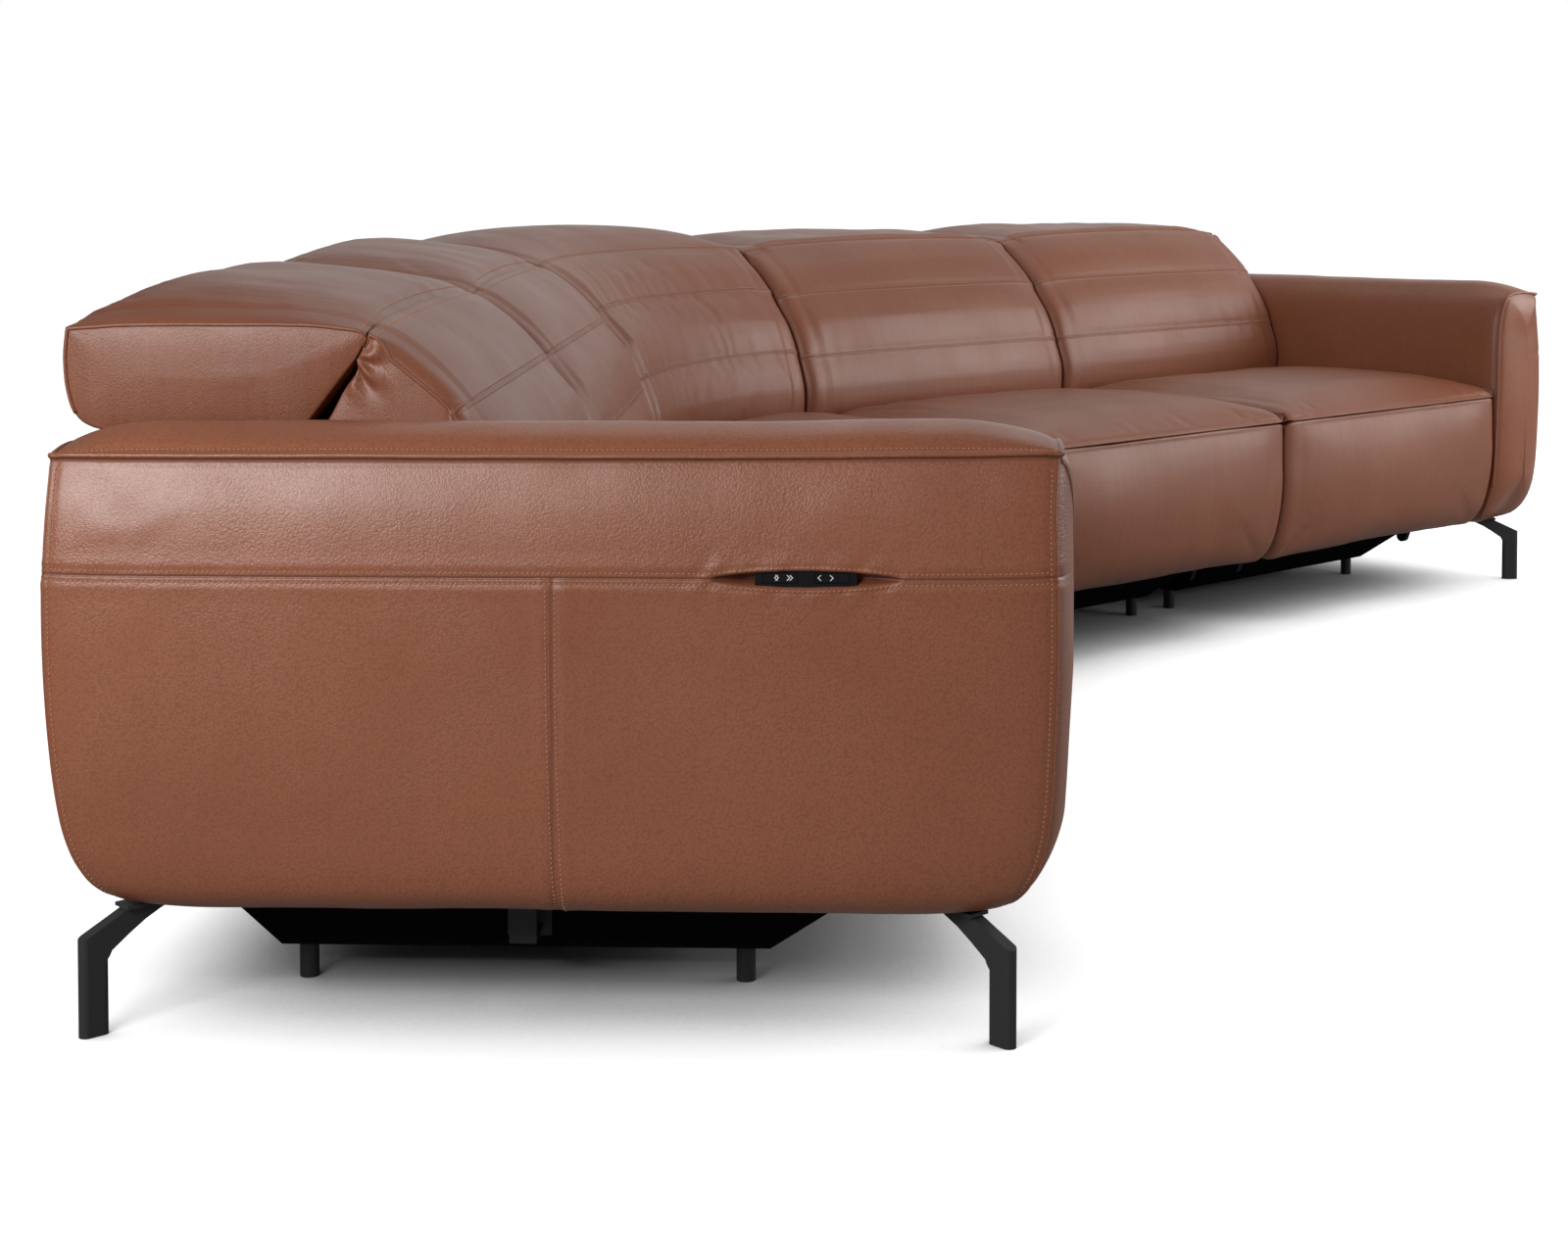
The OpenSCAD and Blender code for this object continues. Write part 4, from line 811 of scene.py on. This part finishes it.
def arm_form(line, share, run):
    """The bare form: the ring carried from the arm's front line to its rear line."""
    x, z, v = line["y"][:, None], line["z"][:, None], line["v"][:, None]
    front, rear = np.interp(z, *FRONT_LINE), np.interp(z, *REAR_LINE)
    for edge in (front, rear):
        wrap = np.concatenate([edge[-6:, 0], edge[:, 0], edge[:6, 0]])
        edge[:, 0] = np.convolve(wrap, np.ones(13) / 13, "valid")
    from_front, from_rear = share * ARM_SPAN, (1 - share) * ARM_SPAN
    from_end = np.minimum(from_front, from_rear)
    shoulder = np.clip(1 - from_front / 0.12, 0, 1) ** 2 \
        + np.clip(1 - from_rear / 0.10, 0, 1) ** 2
    ends_up = 0.004 * np.exp(-from_front / 0.06) + 0.002 * np.exp(-from_rear / 0.03) - 0.002
    raised = np.clip((z - 0.138) / 0.468, 0, 1) * ends_up \
        - 0.70 * shoulder * np.clip(z - TOP_Z, 0, 1) \
        + 0.0045 * (1 - share) ** 2 * np.clip((z - 0.50) / 0.10, 0, 1) \
        - (0.007 if run < 0 else 0) * share * np.clip((z - TOP_Z) / 0.03, 0, 1)
    tuck = np.exp(-(from_end / 0.05) ** 1.6) * bump_at(v, line["marks"][HULL_EDGE] + 0.015, 0.06)
    swell = 0.0025 * (1 - np.exp(-from_end / 0.05)) - 0.0045 * np.exp(-from_end / 0.012) \
        - 0.005 * tuck
    skin = np.stack([x + line["ny"][:, None] * swell, front + (rear - front) * share,
                     z + raised + line["nz"][:, None] * swell], -1)
    return skin.transpose(1, 0, 2), front.T, rear.T


def drawn_in(bare, line, front, rear, seed):
    """The sewn skin: its seams sunk, its lips parted round the slot, and a mask that darkens it
    with seam dye and painted shade.
    """
    y, v = bare[..., 1], line["v"] + 0 * bare[..., 0]
    off, from_welt = v - line["marks"][LEVEL_SEAM], v - line["marks"][WELT]
    from_upright = y - UPRIGHT_Y
    upright = (off < 0) * np.clip((-bare[..., 0] - 0.10) / 0.03, 0, 1)
    end_gap = np.minimum(y - front, rear - y)
    lift = 0.0007 * pair(off, 0.012, 0.005) - 0.0016 * bump_at(off, 0, 0.0014) \
        - 0.0006 * pair(off, 0.006, 0.0016)
    lift -= upright * (0.0014 * bump_at(from_upright, 0, 0.0015)
                       - 0.0006 * pair(from_upright, 0.012, 0.005))
    lift += 0.0020 * bump_at(from_welt, 0.0012, 0.0035) - 0.0009 * (
        bump_at(from_welt, -0.006, 0.0030) + bump_at(from_welt, 0.0095, 0.0022))
    lift -= 0.0010 * bump_at(end_gap, 0.0065, 0.0018)
    lift += np.clip(end_gap / 0.04, 0, 1) * (0.0011 * lattice(y / 0.15, v / 0.13, seed)
                                             + 0.0004 * lattice(y / 0.045, v / 0.05, seed + 1))
    corner = bump_at(y, 0.99, 0.055) * bump_at(off, 0.055, 0.055)
    slant = (y * 0.7 + off * 0.9) / 0.014 + 0.6 * lattice(y / 0.05, off / 0.05, seed)
    lift += 0.0009 * corner * lattice(slant, (y - off) / 0.05, seed + 3)
    beside = np.maximum(0, np.abs(y - POD_Y) - SLOT_HALF)
    mouth = bump_at(beside, 0, 0.03) * bump_at(off, 0, 0.028)
    lift += 0.0009 * mouth * lattice((y + off) / 0.014, off / 0.04, seed + 2)

    away = np.abs(off)
    opening = np.clip(1 - ((y - POD_Y) / SLOT_HALF) ** 2, 0, 1)
    lip = LIP * opening
    rolled = np.clip(lip / 0.004, 0, 1)
    inside = np.clip(1 - away / 0.0030, 0, 1) * (opening > 0)
    lift += 0.0012 * bump_at(away, 0.0045, 0.0022) * rolled
    skin = bare + facing(bare) * lift[..., None]
    skin[..., 2] += np.sign(off) * lip * np.where(
        away <= 0.0031, away / 0.0031, np.exp(-(away - 0.0031) / 0.024))
    skin[..., 0] += 0.017 * rolled * inside ** 0.6

    # Painted shade mask: darker along the level and upright seams and at the ends' welts, where
    # part is seam dye. It also lays a painted shadow just under the welt, and is darkest inside
    # the pod's slot as painted shade in the recess.
    dye_and_shade_mask = bump_at(off, 0, 0.004) + upright * bump_at(from_upright, 0, 0.004) \
        + bump_at(from_welt, -0.0035, 0.003) + np.exp(-end_gap / 0.004)
    dye_and_shade_mask = np.maximum(np.clip(dye_and_shade_mask, 0, 1), (inside > 0) * 2.0)
    return skin, np.stack([y, v, 0 * v], -1).reshape(-1, 3), dye_and_shade_mask.reshape(-1)


def arm_cover(side, run, skin, cut, dye_and_shade_mask, seed):
    """Closes the arm's two ends with domed panels and makes the cover one piece."""
    count = skin.shape[1]
    edges, domes = (FRONT_LINE, REAR_LINE), (0.0215, 0.0125)
    cores, tips = [], []
    for end, outward in ((0, -1), (1, 1)):
        z = np.clip(skin[-end][:, 2], 0.24, 0.53)
        cores.append(np.stack([np.full(count, CORE_X), np.interp(z, *edges[end]), z], -1))
        tips.append((CORE_X, np.interp(CORE_Z, *edges[end]) + outward * domes[end], CORE_Z))

    def end_panel(layer, ring, end, f):
        depth = depth_in(layer[:, ::2], ring[:, ::2])
        return domes[end] * (1 - np.exp(-depth / 0.028)) - 0.0016 * bump_at(depth, 0.003, 0.0025) \
            + 0.0015 * lattice(layer[:, 0] / 0.05, layer[:, 2] / 0.10, seed + 5) * f

    points, quads, tris = closed_mesh(skin, cores, tips, END_STEPS, axis=1, swell=end_panel)
    ends = points[len(cut):]
    cut = np.concatenate([cut, np.stack([ends[:, 0], ends[:, 2], 0 * ends[:, 0]], -1)])
    # The end panels darken towards their welted rims: seam dye and painted shade.
    end_dye_and_shade = np.append(np.repeat(np.exp(-END_STEPS / 0.03), count), 0)
    if run < 0:
        quads, tris = quads[:, ::-1], tris[:, ::-1]
    made = leather_cover(side + "_arm_cover", on_arm(points, run), quads, tris, cut,
                         np.concatenate([dye_and_shade_mask, end_dye_and_shade, end_dye_and_shade]), arm_leather)
    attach(made, "root")
    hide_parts(side + "_arm")


def arm_seams(side, run, bare, skin, line, share):
    """Stitches along the arm's seams, and the welt round the edge of its outer panel."""
    rows, count = skin.shape[:2]
    normal, bare_normal = facing(skin), facing(bare)

    def traced(at_v, at_share):
        """Points on the arm's skin and their normals, at places along its ring and length."""
        fi = np.interp(at_v, line["v"], np.arange(count))
        fj = np.interp(at_share, share, np.arange(rows))
        i, j = np.clip(fi.astype(int), 0, count - 2), np.clip(fj.astype(int), 0, rows - 2)
        di, dj = (fi - i)[:, None], (fj - j)[:, None]
        return [(grid[j, i] * (1 - dj) + grid[j + 1, i] * dj) * (1 - di)
                + (grid[j, i + 1] * (1 - dj) + grid[j + 1, i + 1] * dj) * di
                for grid in (skin, normal)]

    def seam(at_v, at_share):
        spot, up = traced(*np.broadcast_arrays(at_v, at_share))
        return on_arm(spot, run), on_arm(spot + up, run) - on_arm(spot, run)

    level, welt, low = (line["marks"][k] for k in (LEVEL_SEAM, WELT, LOWER_EDGE))
    along = np.linspace(0.006, 0.994, 900)
    stitches = [seam(level + sign * 0.0056, along) for sign in (-1, 1)]
    stitches += [seam(np.linspace(low + 0.02, level - 0.009, 300),
                      (UPRIGHT_Y + sign * 0.0048) / ARM_SPAN) for sign in (-1, 1)]
    stitches.append(seam(welt + 0.0095, along))
    stitches += [seam(np.linspace(low, welt - 0.012, 500), at_end)
                 for at_end in (0.0065 / ARM_SPAN, 1 - 0.0065 / ARM_SPAN)]
    sewn(side + "_arm_stitches", stitches, "root", stitch_run, thread)

    spot, up = traced(np.full(400, welt), np.linspace(0, 1, 400))
    welts = [(on_arm(spot + up * 0.0012, run), 0.0030)]
    above = line["v"] >= welt
    for end in (0, -1):
        ring, up = skin[end], bare_normal[end]
        welts.append((on_arm((ring + up * 0.0002)[above][:-12], run), 0.0028))
        welts.append((on_arm((ring - up * 0.0008)[~above][14:], run), 0.0013))
    sewn(side + "_arm_welts", welts, "root", tube, arm_leather)


for side, run, seed in (("left", 1, 301), ("right", -1, 331)):
    line = drawn(ARM_RING, 0.0075,
                 [0.0007, 0.0018, 0.0032, 0.0050, 0.0072, 0.0100, 0.0140, 0.0190])
    share = clustered(
        [at / ARM_SPAN for at in (UPRIGHT_Y, POD_Y - SLOT_HALF, POD_Y + SLOT_HALF)],
        [0.0, 1.0], FINE_STEP, [0.0018, 0.0040, 0.0068, 0.0105, 0.015])
    bare, front, rear = arm_form(line, share, run)
    skin, cut, dye_and_shade_mask = drawn_in(bare, line, front, rear, seed)
    arm_cover(side, run, skin, cut, dye_and_shade_mask, seed)
    arm_seams(side, run, bare, skin, line, share)

# Bare parts of the model: powder-coated legs and feet, a mechanism of steel coloured near black,
# plywood boards, black non-woven cloth on the bases and moulded plastic pods and rockers.
coats = {}
for slot, colour, rough, metal, gloss, grit in (
        ("black_steel", (0.030, 0.029, 0.030), 0.40, 0.0, 0.3, 500.0),
        ("bare_steel", (0.035, 0.035, 0.037), 0.45, 1.0, 0.3, 300.0),
        ("plywood", (0.46, 0.31, 0.17), 0.62, 0.0, 0.3, 60.0),
        ("black_cloth", (0.0080, 0.0075, 0.0080), 0.97, 0.0, 0.0, 700.0),
        ("black_plastic", (0.006, 0.0065, 0.008), 0.55, 0.0, 0.12, 600.0)):
    coats[slot], start = new_material(slot)
    noise = start.node("TexNoise", {
        "Vector": start.node("TexCoord", {}, "Object"), "Scale": grit, "Detail": 2.0})
    darker, lighter = [(*(k * c for c in colour), 1) for k in (0.82, 1.18)]
    finished(start, start.node("BsdfPrincipled", {
        "Base Color": noise.blend(darker, lighter), "Metallic": metal,
        "Roughness": noise.between(0.3, 0.7, rough - 0.05, rough + 0.05),
        "Specular IOR Level": gloss,
        "Normal": start.node("Bump", {"Height": noise, "Strength": 0.12, "Distance": 0.0006})}))
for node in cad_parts.values():
    for slot in node.material_slots:
        slot.material = coats.get(slot.material.name.split(".")[0], seat_leather)
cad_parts["module_connectors"].material_slots[0].material = coats["black_steel"]

# Rocker marks: each rocker has a small black window with white arrows for its two directions.
ROCKER_AWAY = 0.0225
WINDOW_HALF_W, WINDOW_HALF_H = 0.0100, 0.0046
WINDOW_X, ARROW_X = (-0.16545, -0.16400), (-0.16560, -0.16530)
TWO_ARROWS = ((-0.0022, -1), (0.0065, 1))
window, start = new_material("window")
finished(start, start.node("BsdfPrincipled", {
    "Base Color": (0.004, 0.004, 0.005, 1), "Roughness": 0.18}))
mark_white, start = new_material("mark_white")
finished(start, start.node("BsdfPrincipled", {
    "Base Color": (0.78, 0.78, 0.78, 1), "Roughness": 0.5}))


def plate(corners, depth):
    """A thin plate in the arm's frame from (y, z) corners, between two depths."""
    count = len(corners)
    points = [(x, y, z) for x in depth for y, z in corners]
    faces = [list(range(count)), list(range(2 * count - 1, count - 1, -1))]
    faces += [[i, i + count, (i + 1) % count + count, (i + 1) % count] for i in range(count)]
    return np.array(points), faces


def plates(name, shapes, depth, run, body, material):
    points, faces, total = [], [], 0
    for corners in shapes:
        p, f = plate(corners, depth)
        points.append(p)
        faces += [[i + total for i in face[::run]] for face in f]
        total += len(p)
    made = mesh_object(name, on_arm(np.concatenate(points), run), faces)
    made.data.polygons.foreach_set("use_smooth", [False] * len(made.data.polygons))
    made.data.materials.append(material)
    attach(made, body)


def chevron(y, way):
    z, size, line = POD_Z, 0.0029, 0.0011
    return [(y, z + size), (y + way * line, z + size), (y + way * (size + line), z),
            (y + way * line, z - size), (y, z - size), (y + way * size, z)][::way]


for side, run in (("left", 1), ("right", -1)):
    for kind, sign, arrows in (("recline", -1, TWO_ARROWS),
                               ("headrest", 1, TWO_ARROWS + ((-0.0052, -1), (0.0095, -1)))):
        body = side + "_" + kind + "_rocker_body"
        middle = POD_Y + sign * ROCKER_AWAY
        near, far = middle - WINDOW_HALF_W, middle + WINDOW_HALF_W
        low, high = POD_Z - WINDOW_HALF_H, POD_Z + WINDOW_HALF_H
        pane = [(near, low), (near, high), (far, high), (far, low)]
        plates(side + "_" + kind + "_window", [pane], WINDOW_X, run, body, window)
        plates(side + "_" + kind + "_arrows", [chevron(middle + at, way) for at, way in arrows],
               ARROW_X, run, body, mark_white)
